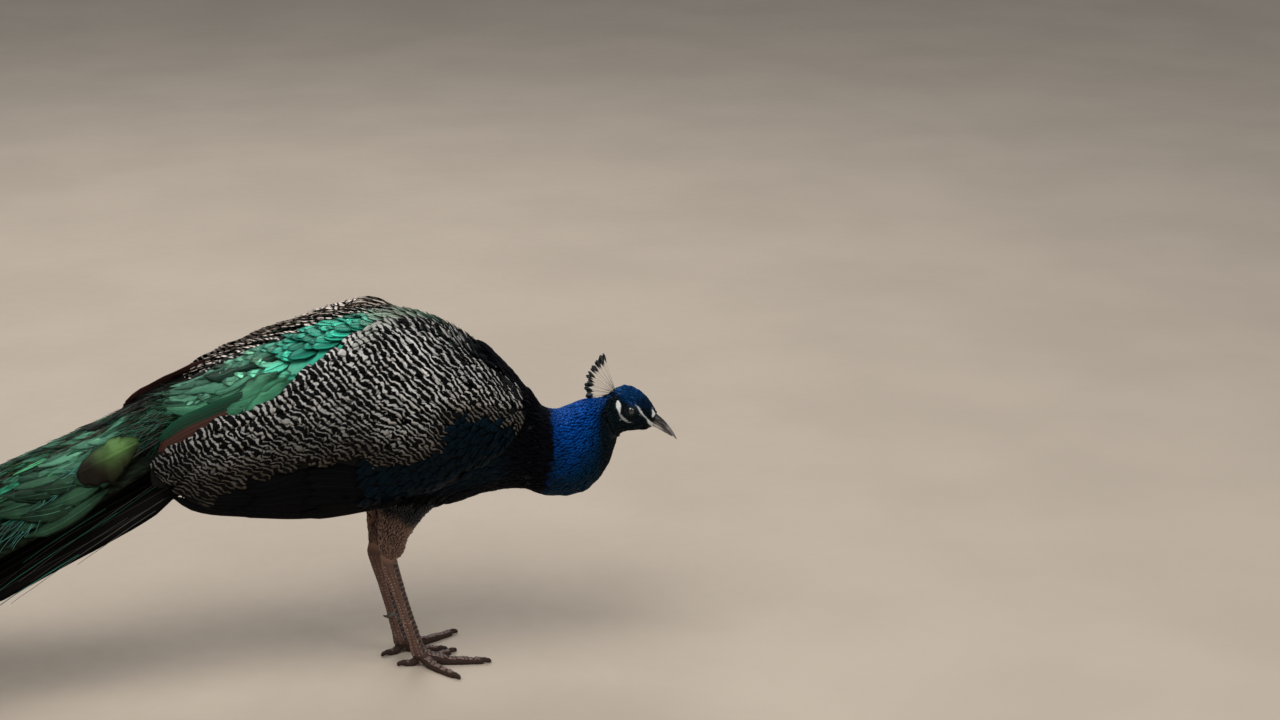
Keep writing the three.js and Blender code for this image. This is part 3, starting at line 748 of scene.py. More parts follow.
def bake_patches(mesh, roots, form, patch=(PATCH, PATCH)):
    """OFBake map: a small patch for each tuft, in the order of the roots on the body's own unwrap."""
    faces, shape_map = form
    spots = unwrap(roots)
    count = len(roots)
    wide, tall = np.array(patch) * 1.25
    columns = int(min(max(1, MAP_SIDE // wide), max(1, math.ceil(math.sqrt(count * tall / wide)))))
    rows = math.ceil(count / columns)
    order = np.argsort(spots[:, 1], kind="stable")
    cell = np.zeros((count, 2))
    for row in range(rows):
        members = order[row * columns : (row + 1) * columns]
        members = members[np.argsort(spots[members, 0], kind="stable")]
        cell[members, 0] = MAP_EDGE + (np.arange(len(members)) + 0.1) * MAP_SIDE / columns
        cell[members, 1] = MAP_EDGE + (row + 0.1) * MAP_SIDE / rows
    size = np.minimum(patch, [0.8 * MAP_SIDE / columns, 0.8 * MAP_SIDE / rows])
    corner_layer(mesh, "OFBake", cell[:, None] + shape_map[corners_of(faces)][None] * size)


def store_chance(mesh, count, size):
    """A random number for each tuft, on all its points."""
    store(mesh, "chance", np.repeat(np.random.default_rng(count).random(count), size))


def coat_piece(name, points, form, roots, tints, material, patch=(PATCH, PATCH), bars=None, nodes=()):
    """Finished piece of many like tufts with the maps and attributes that every coat piece has."""
    count, size = points.shape[:2]
    faces, shape_map = form
    mesh = repeated_mesh(name, points, faces)
    corners = corners_of(faces)
    corner_layer(mesh, "vane", np.broadcast_to(shape_map[corners][None], (count, len(corners), 2)))
    bake_patches(mesh, roots, form, patch)
    store_chance(mesh, count, size)
    store(mesh, "tint", tints if tints.ndim == 3 else np.repeat(tints[:, None], size, 1))
    if bars is not None:
        store(mesh, "bar", bars)
    finish(object_of(name, mesh, material), nodes)


def even_tints(count, colour, shimmer):
    return np.tile([*colour, shimmer], (count, 1))


class Sheet:
    """Smooth grid of points over one side of a form. s runs from its front to its rear and f across it."""

    def __init__(self, grid, inside):
        self.grid = grid
        self.by_s, self.by_f = np.gradient(grid, axis=0), np.gradient(grid, axis=1)
        normals = unit(np.cross(self.by_s, self.by_f))
        if (normals * (grid - inside)).sum() < 0:
            normals = -normals
        self.normals = normals

    def sample(self, field, s, f):
        rows, columns = self.grid.shape[:2]
        s, f = s * (rows - 1), f * (columns - 1)
        i = np.clip(np.floor(s).astype(int), 0, rows - 2)
        j = np.clip(np.floor(f).astype(int), 0, columns - 2)
        a, b = (s - i)[..., None], (f - j)[..., None]
        low = field[i, j] * (1 - a) + field[i + 1, j] * a
        high = field[i, j + 1] * (1 - a) + field[i + 1, j + 1] * a
        return low * (1 - b) + high * b

    def at(self, s, f):
        return self.sample(self.grid, s, f), unit(self.sample(self.normals, s, f))

    def scale(self, s, f):
        """Metres for each unit of s and of f."""
        rows, columns = self.grid.shape[:2]
        s, f = np.clip(s, 0, 1), np.clip(f, 0, 1)
        per_s = np.linalg.norm(self.sample(self.by_s, s, f), axis=-1) * (rows - 1)
        per_f = np.linalg.norm(self.sample(self.by_f, s, f), axis=-1) * (columns - 1)
        return np.maximum(per_s, 1e-4), np.maximum(per_f, 1e-4)


def soften(grid, rounds):
    for _ in range(rounds):
        for axis in (0, 1):
            inner = [slice(None)] * 3
            inner[axis] = slice(1, -1)
            before, after = list(inner), list(inner)
            before[axis], after[axis] = slice(0, -2), slice(2, None)
            grid[tuple(inner)] += 0.5 * ((grid[tuple(before)] + grid[tuple(after)]) / 2 - grid[tuple(inner)])
    return grid


def tree_of(*names):
    points, faces = node_shell(*names)
    return BVHTree.FromPolygons(points, faces)


def band_sheet(names, side, front, rear, height, angles, rows=64, columns=33, rounds=6):
    """Sheet over the outer side of a folded wing, or over the back, found from outside inwards."""
    tree = tree_of(*names)
    scan = np.radians(np.arange(angles[0], angles[1] + 0.1, 0.5))
    out = 0.4
    grid = []
    heights = np.linspace(*np.broadcast_to(height, 2), rows) * MM
    for x, level in zip(np.linspace(front, rear, rows) * MM + FEET_X, heights):
        hits = []
        for angle in scan:
            way = np.array([0, side * math.sin(angle), math.cos(angle)])
            start = np.array([x, 0, level]) + way * out
            hit = tree.ray_cast(Vector(start), Vector(-way), out)[0]
            if hit is not None:
                hits.append(hit)
        if len(hits) < 3:
            raise RuntimeError(f"{names} has no surface at x = {x:.3f}")
        hits = np.array(hits)
        reach = np.concatenate([[0], np.cumsum(np.linalg.norm(np.diff(hits, axis=0), axis=1))])
        even = np.linspace(0, reach[-1], columns)
        grid.append(np.stack([np.interp(even, reach, hits[:, k]) for k in range(3)], 1))
    inside = place(0, 0, 0) + np.stack([0 * heights, 0 * heights, heights], 1)[:, None]
    return Sheet(soften(np.array(grid), rounds), inside)


ROOF_SCAN = np.arange(-0.17, 0.1705, 0.0015)  # places across the bird at which a roof is felt from above


def roof_sheet(names, front, rear, rows=120, columns=33, rounds=6):
    """Sheet over the top of the tail or the train, found from above."""
    tree = tree_of(*names)
    edge = np.array(node_shell(*names)[0])
    grid = []
    for x in np.linspace(front, rear, rows) * MM + FEET_X:
        hits = [tree.ray_cast(Vector((x, y, 1)), Vector((0, 0, -1)))[0] for y in ROOF_SCAN]
        hits = np.array([hit for hit in hits if hit is not None])
        if len(hits) < 3:
            raise RuntimeError(f"{names} has no top at x = {x:.3f}")
        across = np.linspace(hits[-1, 1], hits[0, 1], columns)
        grid.append(np.stack([np.full(columns, x), across, np.interp(across, hits[:, 1], hits[:, 2])], 1))
    return Sheet(soften(np.array(grid), rounds), np.array([edge[:, 0].mean(), 0, -1]))


def leaf(along, tip=0.55, root=0.3, power=0.6):
    """Outline of a feather: half width, 0 to 1, from a narrow root over a broad middle to a rounded tip."""
    rise = np.clip(along / root, 0, 1) ** 0.8
    fall = np.clip((1 - along) / (1 - tip), 0, 1) ** power
    return 0.14 + 0.86 * np.minimum(rise, 1) * np.minimum(fall, 1)


VANE_THICK = 0.0007


def lay_vanes(sheet, s, f, length, width, rows, columns, outline, lift, turn=0.0, ragged=0.06, arch=0.12,
              seed=0, bend=0.0):
    """Points (count, points of one vane, 3) of vanes on a sheet.

    s and f are the roots, turn the angle to the sheet's own direction, lift the height above the sheet at
    root and tip, ragged how uneven the edge is, arch how high the middle stands, and bend how much the vane
    turns on its way.
    """
    rng = np.random.default_rng(seed)
    count = len(s)
    along = np.linspace(0, 1, rows + 1)
    turn = np.broadcast_to(turn, count)[:, None] + bend * along[None]
    step = length[:, None] / rows
    middle_s, middle_f = np.zeros((count, rows + 1)), np.zeros((count, rows + 1))
    middle_s[:, 0], middle_f[:, 0] = s, f
    for k in range(rows):
        per_s, per_f = sheet.scale(middle_s[:, k], middle_f[:, k])
        middle_s[:, k + 1] = middle_s[:, k] + step[:, 0] * np.cos(turn[:, k]) / per_s
        middle_f[:, k + 1] = middle_f[:, k] + step[:, 0] * np.sin(turn[:, k]) / per_f
    per_s, per_f = sheet.scale(middle_s, middle_f)
    half = outline(along)[None] * width[:, None] / 2 * (1 + rng.normal(0, ragged, (count, rows + 1)))
    across = np.linspace(-1, 1, columns)
    offset = half[..., None] * across
    jag = 1 + rng.normal(0, ragged, (count, 1, columns)) * (along[None, :, None] > 0.8)
    place_s = middle_s[..., None] - offset * np.sin(turn)[..., None] / per_s[..., None]
    # The barbs' ends trail at the edges.
    back = np.abs(across) * half[..., None] * 0.45 * along[None, :, None]
    place_s = place_s - back * np.cos(turn)[..., None] / per_s[..., None] * (1 - along[None, :, None]) * jag
    place_f = middle_f[..., None] + offset * np.cos(turn)[..., None] / per_f[..., None]
    points, normals = sheet.at(place_s, place_f)
    low, high = (np.broadcast_to(value, count)[:, None] for value in lift)
    height = (low + (high - low) * along[None] ** 1.4)[..., None] + half[..., None] * arch * (1 - across**2)
    top = points + normals * height[..., None]
    middle = columns // 2
    under = top[:, :, middle : middle + 1] - normals[:, :, middle : middle + 1] * VANE_THICK
    return np.concatenate([top, under], 2).reshape(count, -1, 3)


def tight_rows(rng, sheet, spacing, stagger, limits=(0.0, 1.0, 0.0, 1.0), jitter=0.25):
    """Roots in staggered rows across a sheet. spacing(s) gives the distance between rows and within them."""
    s_from, s_to, f_from, f_to = limits
    s, f, odd = s_from, [], 0
    roots_s = []
    while s < s_to:
        gap_s, gap_f = spacing(s)
        per_s, per_f = sheet.scale(np.array([s]), np.array([0.5]))
        number = max(2, int(round((f_to - f_from) * per_f[0] / gap_f)))
        places = f_from + (np.arange(number) + (stagger if odd else 0) + 0.25) / number * (f_to - f_from)
        f += list(places + rng.normal(0, jitter, number) * (f_to - f_from) / number)
        roots_s += list(s + rng.normal(0, jitter, number) * gap_s / per_s[0])
        s += gap_s / per_s[0]
        odd = 1 - odd
    return np.array(roots_s), np.array(f)


# ---------------------------------------------------------------- coats grown by Geometry Nodes
def grown(base, tree, values):
    """Plain mesh that a Geometry Nodes group makes on an object, which keeps no modifier."""
    modifier = base.modifiers.new("grow", "NODES")
    modifier.node_group = tree
    names = {item.name: item.identifier for item in tree.interface.items_tree if item.in_out == "INPUT"}
    for key, value in values.items():
        modifier[names[key]] = value
    base.update_tag()
    mesh = evaluated_mesh(base)
    base.modifiers.remove(modifier)
    return mesh


def planting_tree(name, inputs):
    """Geometry Nodes group from a mesh, a shape to plant on it and the shape's material, to a mesh."""
    always = {"Geometry": ("geometry", None), "Shape": ("object", None), "Finish": ("material", None)}
    inputs = {**always, **inputs}
    graph, given, result = group_tree(name, "GeometryNodeTree", inputs, {"Geometry": "geometry"})
    graph.tree.is_modifier = True
    return graph, given, result


def plant(graph, given, result, points, turn, scale):
    """Copies of the shape on points, made real."""
    shape = graph.node("GeometryNodeObjectInfo", given["Shape"])
    planted = graph.node("GeometryNodeInstanceOnPoints", Points=points, Instance=shape.outputs["Geometry"],
                         Rotation=turn, Scale=scale)
    real = graph.node("GeometryNodeRealizeInstances", planted)
    coated = graph.node("GeometryNodeSetMaterial", Geometry=real, Material=given["Finish"])
    graph.feed(result["Geometry"], coated)
    return graph.tree


def facing(graph, up, ahead):
    """Turn that brings Z to `up` and X to `ahead`."""
    return graph.node("FunctionNodeAxesToRotation", primary_axis="Z", secondary_axis="X", Primary_Axis=up,
                      Secondary_Axis=ahead)


def random_between(graph, low, high, seed):
    made = graph.node("FunctionNodeRandomValue", data_type="FLOAT", Seed=seed)
    graph.feed(made.inputs[2], low)
    graph.feed(made.inputs[3], high)
    return made.outputs[1]


def contour_tree():
    """Small feathers spread over the skin where `tract` is 1, turned to the stored lie of the coat."""
    inputs = {
        "Spacing": ("value", 0.004),
        "Length": ("value", 0.012),
        "Width": ("value", 0.006),
        "Lift": ("value", 0.15),
        "Unevenness": ("value", 0.15),
        "Seed": ("whole", 0),
    }
    graph, given, result = planting_tree("Contour Coat", inputs)
    on_tract = graph.node("FunctionNodeCompare", graph.stored("tract", "FLOAT"), 0.5, data_type="FLOAT",
                          operation="GREATER_THAN")
    spread = graph.node(
        "GeometryNodeDistributePointsOnFaces", distribute_method="POISSON", Mesh=given["Geometry"],
        Selection=on_tract, Distance_Min=given["Spacing"], Seed=given["Seed"],
        Density_Max=graph.math("DIVIDE", 3.0, given["Spacing"] * given["Spacing"]),
    )
    less = 0.0 - given["Unevenness"]
    pitch = given["Lift"] * random_between(graph, -1.35, -0.65, 3)
    nudge = graph.node("ShaderNodeCombineXYZ", random_between(graph, less, given["Unevenness"], 5), pitch,
                       random_between(graph, less, given["Unevenness"], 7))
    flat = facing(graph, spread.outputs["Normal"], graph.stored("lie"))
    turned = graph.node("FunctionNodeRotateRotation", flat, graph.node("FunctionNodeEulerToRotation", nudge),
                        rotation_space="LOCAL")
    size = graph.stored("size", "FLOAT") * random_between(graph, 0.82, 1.16, 11)
    long = given["Length"] * size
    scale = graph.node("ShaderNodeCombineXYZ", long, given["Width"] * size, long)
    rooted = graph.node("GeometryNodeStoreNamedAttribute", data_type="FLOAT_VECTOR", Name="root",
                        Geometry=spread.outputs["Points"], Value=graph.node("GeometryNodeInputPosition"))
    return plant(graph, given, result, rooted, turned, scale)


def single_vane(name, rows, columns, outline, curl=0.12, dish=0.10, thick=0.035):
    """One vane of length 1 along X and width 1, curved down to its tip, for planting on the skin."""
    along = np.linspace(0, 1, rows + 1)
    across = np.linspace(-0.5, 0.5, columns)
    half = outline(along)
    x = along[:, None] - 0.22 * np.abs(across)[None] * along[:, None]
    y = across[None] * half[:, None]
    z = dish * half[:, None] * (0.25 - across[None] ** 2) * 4 - curl * along[:, None] ** 2
    top = np.stack(np.broadcast_arrays(x, y, z), -1)
    under = top[:, columns // 2 : columns // 2 + 1] - [0, 0, thick]
    faces, shape_map = vane_form(rows, columns)
    mesh = mesh_of(name, np.concatenate([top, under], 1).reshape(-1, 3), faces)
    corner_layer(mesh, "vane", shape_map[corners_of(faces)])
    return object_of(name, mesh)


def contour_piece(name, skin, tract, size, feather, rows, values, finishing):
    """Coat piece grown on the skin where tract is 1, of feathers three points wide."""
    store(skin.data, "tract", tract.astype(float))
    store(skin.data, "size", size)
    tree = bpy.data.node_groups.get("Contour Coat") or contour_tree()
    mesh = grown(skin, tree, {**values, "Shape": feather, "Finish": vane_material(name, **finishing)})
    mesh.name = name
    form = vane_form(rows, 3)
    size = len(form[1])
    roots = fetch(mesh, "root")[::size]
    bake_patches(mesh, roots, form)
    store_chance(mesh, len(roots), size)
    for spare in ("tract", "size", "lie", "root"):
        mesh.attributes.remove(mesh.attributes[spare])
    finish(object_of(name, smooth(mesh)))


# ---------------------------------------------------------------- skin
PAIRED_FLESH = ("wing_coverts", "wing_secondaries", "thigh", "shank", "foot")
FLESH = ["head", "neck", "trunk"] + [f"{part}_{side}" for side in SIDES for part in PAIRED_FLESH]
REGIONS = ("head", "neck", "trunk", "coverts", "secondaries", "thigh", "shank", "foot")
COAT_DEPTH = {"head": 4.0, "neck": 2.0, "trunk": 5.0, "coverts": 5.5, "secondaries": 4.5, "thigh": 3.4}
# Sides of the little cubes from which the skin is made, in metres.
HEAD_VOXEL, LEG_VOXEL, BODY_VOXEL = 0.00093, 0.00122, 0.0034


def region_of(node):
    return next(i for i, region in enumerate(REGIONS) if region in node)


def nearest_region(points):
    """Index of the region whose CAD node is nearest to each point."""
    shells = [node_shell(name) for name in FLESH]
    corners, faces, owners = [], [], []
    for name, (shell_points, shell_faces) in zip(FLESH, shells):
        first = len(corners)
        corners += shell_points
        faces += [[first + i for i in face] for face in shell_faces]
        owners += [region_of(name)] * len(shell_faces)
    tree = BVHTree.FromPolygons(corners, faces)
    return np.array([owners[tree.find_nearest(Vector(point))[2]] for point in points])


def neighbour_mean(mesh, values, rounds):
    """Values on the points of a mesh, averaged with their neighbours a number of times."""
    ends = np.zeros(len(mesh.edges) * 2, np.int32)
    mesh.edges.foreach_get("vertices", ends)
    first, second = ends.reshape(-1, 2).T
    count = len(mesh.vertices)
    weight = np.bincount(first, minlength=count) + np.bincount(second, minlength=count)
    for _ in range(rounds):
        total = np.bincount(first, values[second], count) + np.bincount(second, values[first], count)
        values = (values + total / np.maximum(weight, 1)) / 2
    return values


def lid_ring(side, rise, wide, tall, thick):
    """Ring of lid skin on the eyeball, as points and faces. rise is how far out on the eye it sits."""
    around, tube = 28, 8
    points = []
    for i in range(around):
        turn = 2 * math.pi * i / around
        centre = np.array([wide * math.cos(turn), side * rise, tall * math.sin(turn)])
        out = unit(centre)
        outwards = unit(np.array([math.cos(turn), 0, math.sin(turn)]))
        for j in range(tube):
            swing = 2 * math.pi * j / tube
            points.append(centre + (out * math.cos(swing) + outwards * math.sin(swing)) * thick)
    faces = []
    for i in range(around):
        for j in range(tube):
            a, b = i * tube, (i + 1) % around * tube
            k = (j + 1) % tube
            faces.append([a + j, b + j, b + k, a + k])
    spot = EYE_SPOT * [1, side, 1]
    return [tuple(p) for p in from_head(np.array(points) + spot)], faces


def head_skin():
    """Fine skin of the head with raised lids, under short feathers."""
    points, faces = node_shell("head")
    for side in SIDES.values():
        for rise, wide, tall, thick in ((4.2, 5.0, 4.5, 0.85), (3.2, 6.2, 5.6, 0.6)):
            ring_points, ring_faces = lid_ring(side, rise, wide, tall, thick)
            faces += [[len(points) + i for i in face] for face in ring_faces]
            points += ring_points
    mesh = fused(points, faces, HEAD_VOXEL, 5)
    spots = vertex_array(mesh)
    local = in_head(spots)
    depth = 1.1 * ease(eye_distance(spots), 7.5, 13) * (1 - ease(local[:, 0], 20, 27))
    depth = depth * (1 - 0.6 * bare_face(spots)) + 0.35 * ease(local[:, 0], 20, 27)
    depth = depth + 3.2 * ease(-local[:, 0], 24, 42)
    set_points(mesh, spots - vertex_normals(mesh) * depth[:, None] * MM)
    return mesh


def leg_skin():
    """Fine skin of tarsi and toes."""
    points, faces = node_shell(*[f"{part}_{side}" for part in ("shank", "foot") for side in SIDES])
    mesh = fused(points, faces, LEG_VOXEL, 4)
    spots = vertex_array(mesh)
    grow = 1.2 + 0.5 * (1 - ease(spots[:, 2], 0.012, 0.03)) - 2.4 * ease(spots[:, 2], 0.134, 0.151)
    lift = 0.012 * ease(spots[:, 2], 0.136, 0.151)
    spots = spots + vertex_normals(mesh) * grow[:, None] * MM
    spots[:, 2] += lift
    spots[:, 2] = np.maximum(spots[:, 2], 0)
    set_points(mesh, spots)
    return mesh


def body_skin():
    """Skin of trunk, neck, wings and thighs, inside the solids by the depth of the coat."""
    names = [name for name in FLESH if not name.startswith(("shank", "foot"))]
    points, faces = node_shell(*names)
    mesh = fused(points, faces, BODY_VOXEL, 14)
    spots = vertex_array(mesh)
    owner = nearest_region(spots)
    depth = np.array([COAT_DEPTH.get(region, 3.0) for region in REGIONS])[owner]
    depth = neighbour_mean(mesh, depth, 16)
    x, y, z = bird_mm(spots).T
    on_thigh = owner == REGIONS.index("thigh")
    depth = depth * np.where(on_thigh, 0.35 + 0.65 * ease(z, 150, 200), 1)
    front = np.maximum(vertex_normals(mesh)[:, 0], 0) * on_thigh * ease(z, 158, 178) * (1 - ease(z, 205, 226))
    rear = np.maximum(-vertex_normals(mesh)[:, 0], 0) * on_thigh * (y > 0) * ease(z, 146, 165)
    depth = depth + 6 * neighbour_mean(mesh, front, 6) + 4 * neighbour_mean(mesh, rear, 6)
    depth = depth - 6.5 * ease(x, 80, 112) * (1 - ease(x, 150, 178)) * ease(z - 0.7 * (116 - x), 345, 385)
    set_points(mesh, spots - vertex_normals(mesh) * depth[:, None] * MM)
    return mesh


def skin_material():
    graph = Finish("skin")
    mottle = 0.75 + graph.noise(160.0, 4.0) * 0.5
    pores = graph.noise(1400.0, 3.0) + graph.noise(520.0) * 1.2
    return graph.surface(pores, 0.25, 0.8, Base_Color=graph.shaded(graph.attribute("tint", "Color"), mottle),
                         Roughness=graph.patchy(300.0, 0.5, 0.75), Specular_IOR_Level=0.15)


class PEACOCK_OT_skin(bpy.types.Operator):
    """One skin over head, neck, trunk, wings and legs, which carries the markings and the lie of the coat"""

    bl_idname = "peacock.skin"
    bl_label = "Skin"

    def execute(self, context):
        joined = bmesh.new()
        part = []
        for index, piece in enumerate((body_skin(), head_skin(), leg_skin())):
            joined.from_mesh(piece)
            part += [index] * len(piece.vertices)
            bpy.data.meshes.remove(piece)
        mesh = bpy.data.meshes.new("skin")
        joined.to_mesh(mesh)
        joined.free()
        smooth(mesh)
        part, legs = np.array(part), np.array(part) == 2
        points, normals = vertex_array(mesh), vertex_normals(mesh)
        owner = nearest_region(points)
        masks = {key: neighbour_mean(mesh, (owner == i).astype(float), 3) for i, key in enumerate(REGIONS)}
        below_ankle = 1 - ease(points[:, 2], 0.140, 0.152)
        masks["leg"] = np.where(legs, 1, np.maximum(masks["shank"], masks["foot"])) * below_ankle
        masks["thigh"] = np.where(legs, 1, np.maximum(masks["thigh"], masks["shank"]))
        store(mesh, "tint", markings(points, normals, masks))
        store(mesh, "lie", lie_of_coat(points, normals))
        store(mesh, "part", part)
        for key in ("coverts", "secondaries", "thigh", "head"):
            store(mesh, "on_" + key, masks[key])
        finish(object_of("skin", mesh, skin_material()), FLESH)
        return {"FINISHED"}


def the_skin():
    skin = bpy.data.objects.get("skin")
    if skin is None:
        raise RuntimeError("make the skin first")
    return skin


# ---------------------------------------------------------------- small feathers
class PEACOCK_OT_contour_coat(bpy.types.Operator):
    """Small feathers of head, neck, breast, belly and thighs"""

    bl_idname = "peacock.contour_coat"
    bl_label = "Small feathers"

    def execute(self, context):
        skin = the_skin()
        mesh = skin.data
        points = vertex_array(mesh)
        part = fetch(mesh, "part")
        x, y, z = bird_mm(points).T
        local = in_head(points)
        on = {key: fetch(mesh, "on_" + key) for key in ("coverts", "secondaries", "thigh", "head")}
        leaf_small = single_vane("small_vane", 3, 3, leaf)
        leaf_broad = single_vane("broad_vane", 4, 3, lambda t: leaf(t, 0.5, 0.25, 0.5))
        down = single_vane("down_vane", 4, 3, lambda t: 1 - 0.85 * t, 0.10, 0.3)

        on_head = (part == 1) & (local[:, 0] < 27.5) & (local[:, 0] > -39)
        on_head &= ~((local[:, 0] > -10) & (local[:, 2] < -30))
        lie = fetch(mesh, "lie")
        bare = np.max([bare_face(points + lie * reach) for reach in (-0.0005, 0.0012, 0.0026)], axis=0)
        on_head &= (bare < 0.25) & (eye_distance(points) > 8.0)
        small = 0.55 + 0.45 * ease(eye_distance(points), 8, 18) * (1 - 0.4 * ease(local[:, 0], 8, 26))
        small = small * (1 + 0.5 * ease(-local[:, 0], 22, 40))

        on_neck = (part == 0) & (x - 0.12 * (z - 270) > 160) & ((on["head"] < 0.3) | (local[:, 0] < -22))
        on_neck &= ~((local[:, 0] > -5) & (local[:, 2] < -21) & (local[:, 2] > -37))

        wing = np.maximum(on["coverts"], on["secondaries"])
        on_body = (part == 0) & (wing < 0.6) & (on["thigh"] < 0.75) & (on["head"] < 0.1)
        on_body &= (x < 180) & (z > 172)
        on_body &= ~((z > 372 - 0.25 * x) & (np.abs(y) < 70) & (x < 110))

        on_thigh = (part == 0) & (on["thigh"] > 0.2) & (z < 235) & (z > 151)

        # Tract, size there, vane and its rows, then length, width, lift and unevenness of the feathers.
        coats = (
            ("head", on_head, small, leaf_small, 3, (0.0056, 0.0027, 0.20, 0.22),
             {"roughness": 0.38, "barbs": 6, "edge": 0.35, "unevenness": 0.9, "relief": 0.05}),
            ("neck", on_neck, 1 - 0.3 * ease(x, 215, 262), leaf_small, 3, (0.0112, 0.0064, 0.09, 0.09),
             {"roughness": 0.38, "barbs": 9, "unevenness": 0.45, "relief": 0.06, "gloss": 0.05}),
            ("body", on_body, 1 - 0.45 * ease(x, 100, 165), leaf_broad, 4, (0.024, 0.0120, 0.12, 0.10),
             {"roughness": 0.55, "barbs": 12, "edge": 0.35, "unevenness": 0.5, "relief": 0.1, "gloss": 0.04}),
            ("thigh", on_thigh, 0.5 + 0.5 * ease(z, 150, 205), down, 4, (0.014, 0.0040, 0.05, 0.07),
             {"roughness": 0.8, "barbs": 5, "edge": 0.1, "unevenness": 0.4, "sheen": 0.3, "relief": 0.05}),
        )
        for index, (name, tract, size, vane, rows, shape, finishing) in enumerate(coats):
            values = dict(zip(("Length", "Width", "Lift", "Unevenness"), shape))
            values["Spacing"] = getattr(sizes(), f"{name}_spacing")
            values["Seed"] = sizes().seed + index
            contour_piece(f"{name}_feathers", skin, tract, size, vane, rows, values, finishing)
        for spare in (leaf_small, leaf_broad, down):
            discard(spare)
        return {"FINISHED"}


# ---------------------------------------------------------------- wings and back
# How the bars run, seen from the side: level and height of a place in millimetres, how steeply the bars fall
# towards the front there in degrees, and how wide a bar with its gap is compared with the setting.
BAR_GUIDES = [
    (135, 305, 60, 0.55), (125, 360, 50, 0.60), (110, 335, 50, 0.75), (90, 385, 42, 0.75),
    (70, 355, 56, 0.95), (50, 390, 40, 1.05), (35, 295, 55, 0.75), (30, 360, 55, 1.25),
    (10, 385, 45, 1.35), (5, 320, 38, 0.95), (-30, 395, 42, 1.35), (-10, 360, 44, 1.30),
    (-45, 320, 48, 1.05), (-60, 285, 32, 0.90), (-60, 360, 52, 1.35), (-95, 355, 49, 1.30),
    (-95, 310, 45, 1.10), (-110, 260, 33, 0.95), (-120, 345, 54, 1.40), (-165, 320, 55, 1.30),
    (-170, 235, 18, 0.88), (-190, 275, 35, 1.05), (-220, 295, 76, 1.15), (-210, 215, 14, 0.83),
    (-250, 265, 76, 0.97), (-260, 235, 18, 0.80), (-278, 230, 60, 0.75),
]
BAR_STEP = 10.0
BAR_CORNER = np.array([-340.0, 190.0])
BAR_FIELD = (53, 26)
# Lower edge of the barred part of the wing.
BAR_EDGE = [
    (-320, 260), (-254, 267), (-203, 286), (-147, 297), (-120, 299), (-86, 306), (-65, 306), (-47, 294),
    (-24, 290), (8, 301), (20, 309), (25, 330), (40, 346), (60, 350), (85, 343), (105, 334), (140, 322),
]


def bar_turns():
    """Number of bars passed at every place of a grid seen from the side, as near to the guides as can be."""
    index = np.arange(BAR_FIELD[0] * BAR_FIELD[1]).reshape(BAR_FIELD)
    where = np.stack(np.indices(BAR_FIELD), -1) * BAR_STEP + BAR_CORNER
    guides = np.array(BAR_GUIDES, float)
    share = 1 / (((where[:, :, None] - guides[:, :2]) ** 2).sum(-1) + 200) ** 1.5
    share /= share.sum(-1, keepdims=True)
    slope, pitch = np.radians(share @ guides[:, 2]), share @ guides[:, 3] * sizes().bar_pitch / MM
    weights, wanted = np.zeros((index.size, index.size)), np.zeros(index.size)
    for axis, flow in enumerate((np.sin(slope) / pitch, np.cos(slope) / pitch)):
        spots, flow = np.moveaxis(index, axis, 0), np.moveaxis(flow, axis, 0)
        a, b = spots[:-1].ravel(), spots[1:].ravel()
        gain = (flow[:-1] + flow[1:]).ravel() * BAR_STEP / 2
        for i, j, sign in ((a, a, 1), (b, b, 1), (a, b, -1), (b, a, -1)):
            weights[i, j] += sign
        wanted[b] += gain
        wanted[a] -= gain
    weights[0, 0] += 1
    return np.linalg.solve(weights, wanted).reshape(BAR_FIELD)


def bar_layer(points, form, rng):
    """Number of bars passed at every point of many vanes, with a small step from vane to vane."""
    x, y, z = np.moveaxis(bird_mm(points), -1, 0)
    out = np.abs(y)
    level = 0.978 * x + 0.208 * out
    height = 0.954 * z - 0.292 * out + 0.062 * x
    field = bar_turns()
    a, b = (level - BAR_CORNER[0]) / BAR_STEP, (height - BAR_CORNER[1]) / BAR_STEP
    i = np.clip(np.floor(a).astype(int), 0, BAR_FIELD[0] - 2)
    j = np.clip(np.floor(b).astype(int), 0, BAR_FIELD[1] - 2)
    a, b = a - i, b - j
    turns = (field[i, j] * (1 - a) + field[i + 1, j] * a) * (1 - b)
    turns = turns + (field[i, j + 1] * (1 - a) + field[i + 1, j + 1] * a) * b
    rough = wobble(points, 0.008, 6) * (0.10 + 0.28 * (1 - ease(height, 250, 350)))
    across = form[1][:, 0] * 2 - 1
    return turns + rough + rng.normal(0, 0.09, (len(points), 1)) + 0.22 * across[None] ** 2


def barred_material():
    made = bpy.data.materials.get("barred_vanes")
    if made:
        return made
    graph = Finish("barred_vanes")
    bars = graph.placed(wavy_bars, Pale=graph.attribute("tint", "Color"), Dark=rgb("bar_dark"))
    vane = graph.placed(vane_finish, Tint=bars, Shaft=bars, Barbs=22.0, Edge_Shade=0.12, Unevenness=0.25)
    return graph.surface(vane.outputs["Height"], 0.12, Base_Color=vane, Specular_IOR_Level=0.06,
                         Roughness=graph.ramp(bars.outputs["Mask"], 0, 1, 0.78, 0.5))


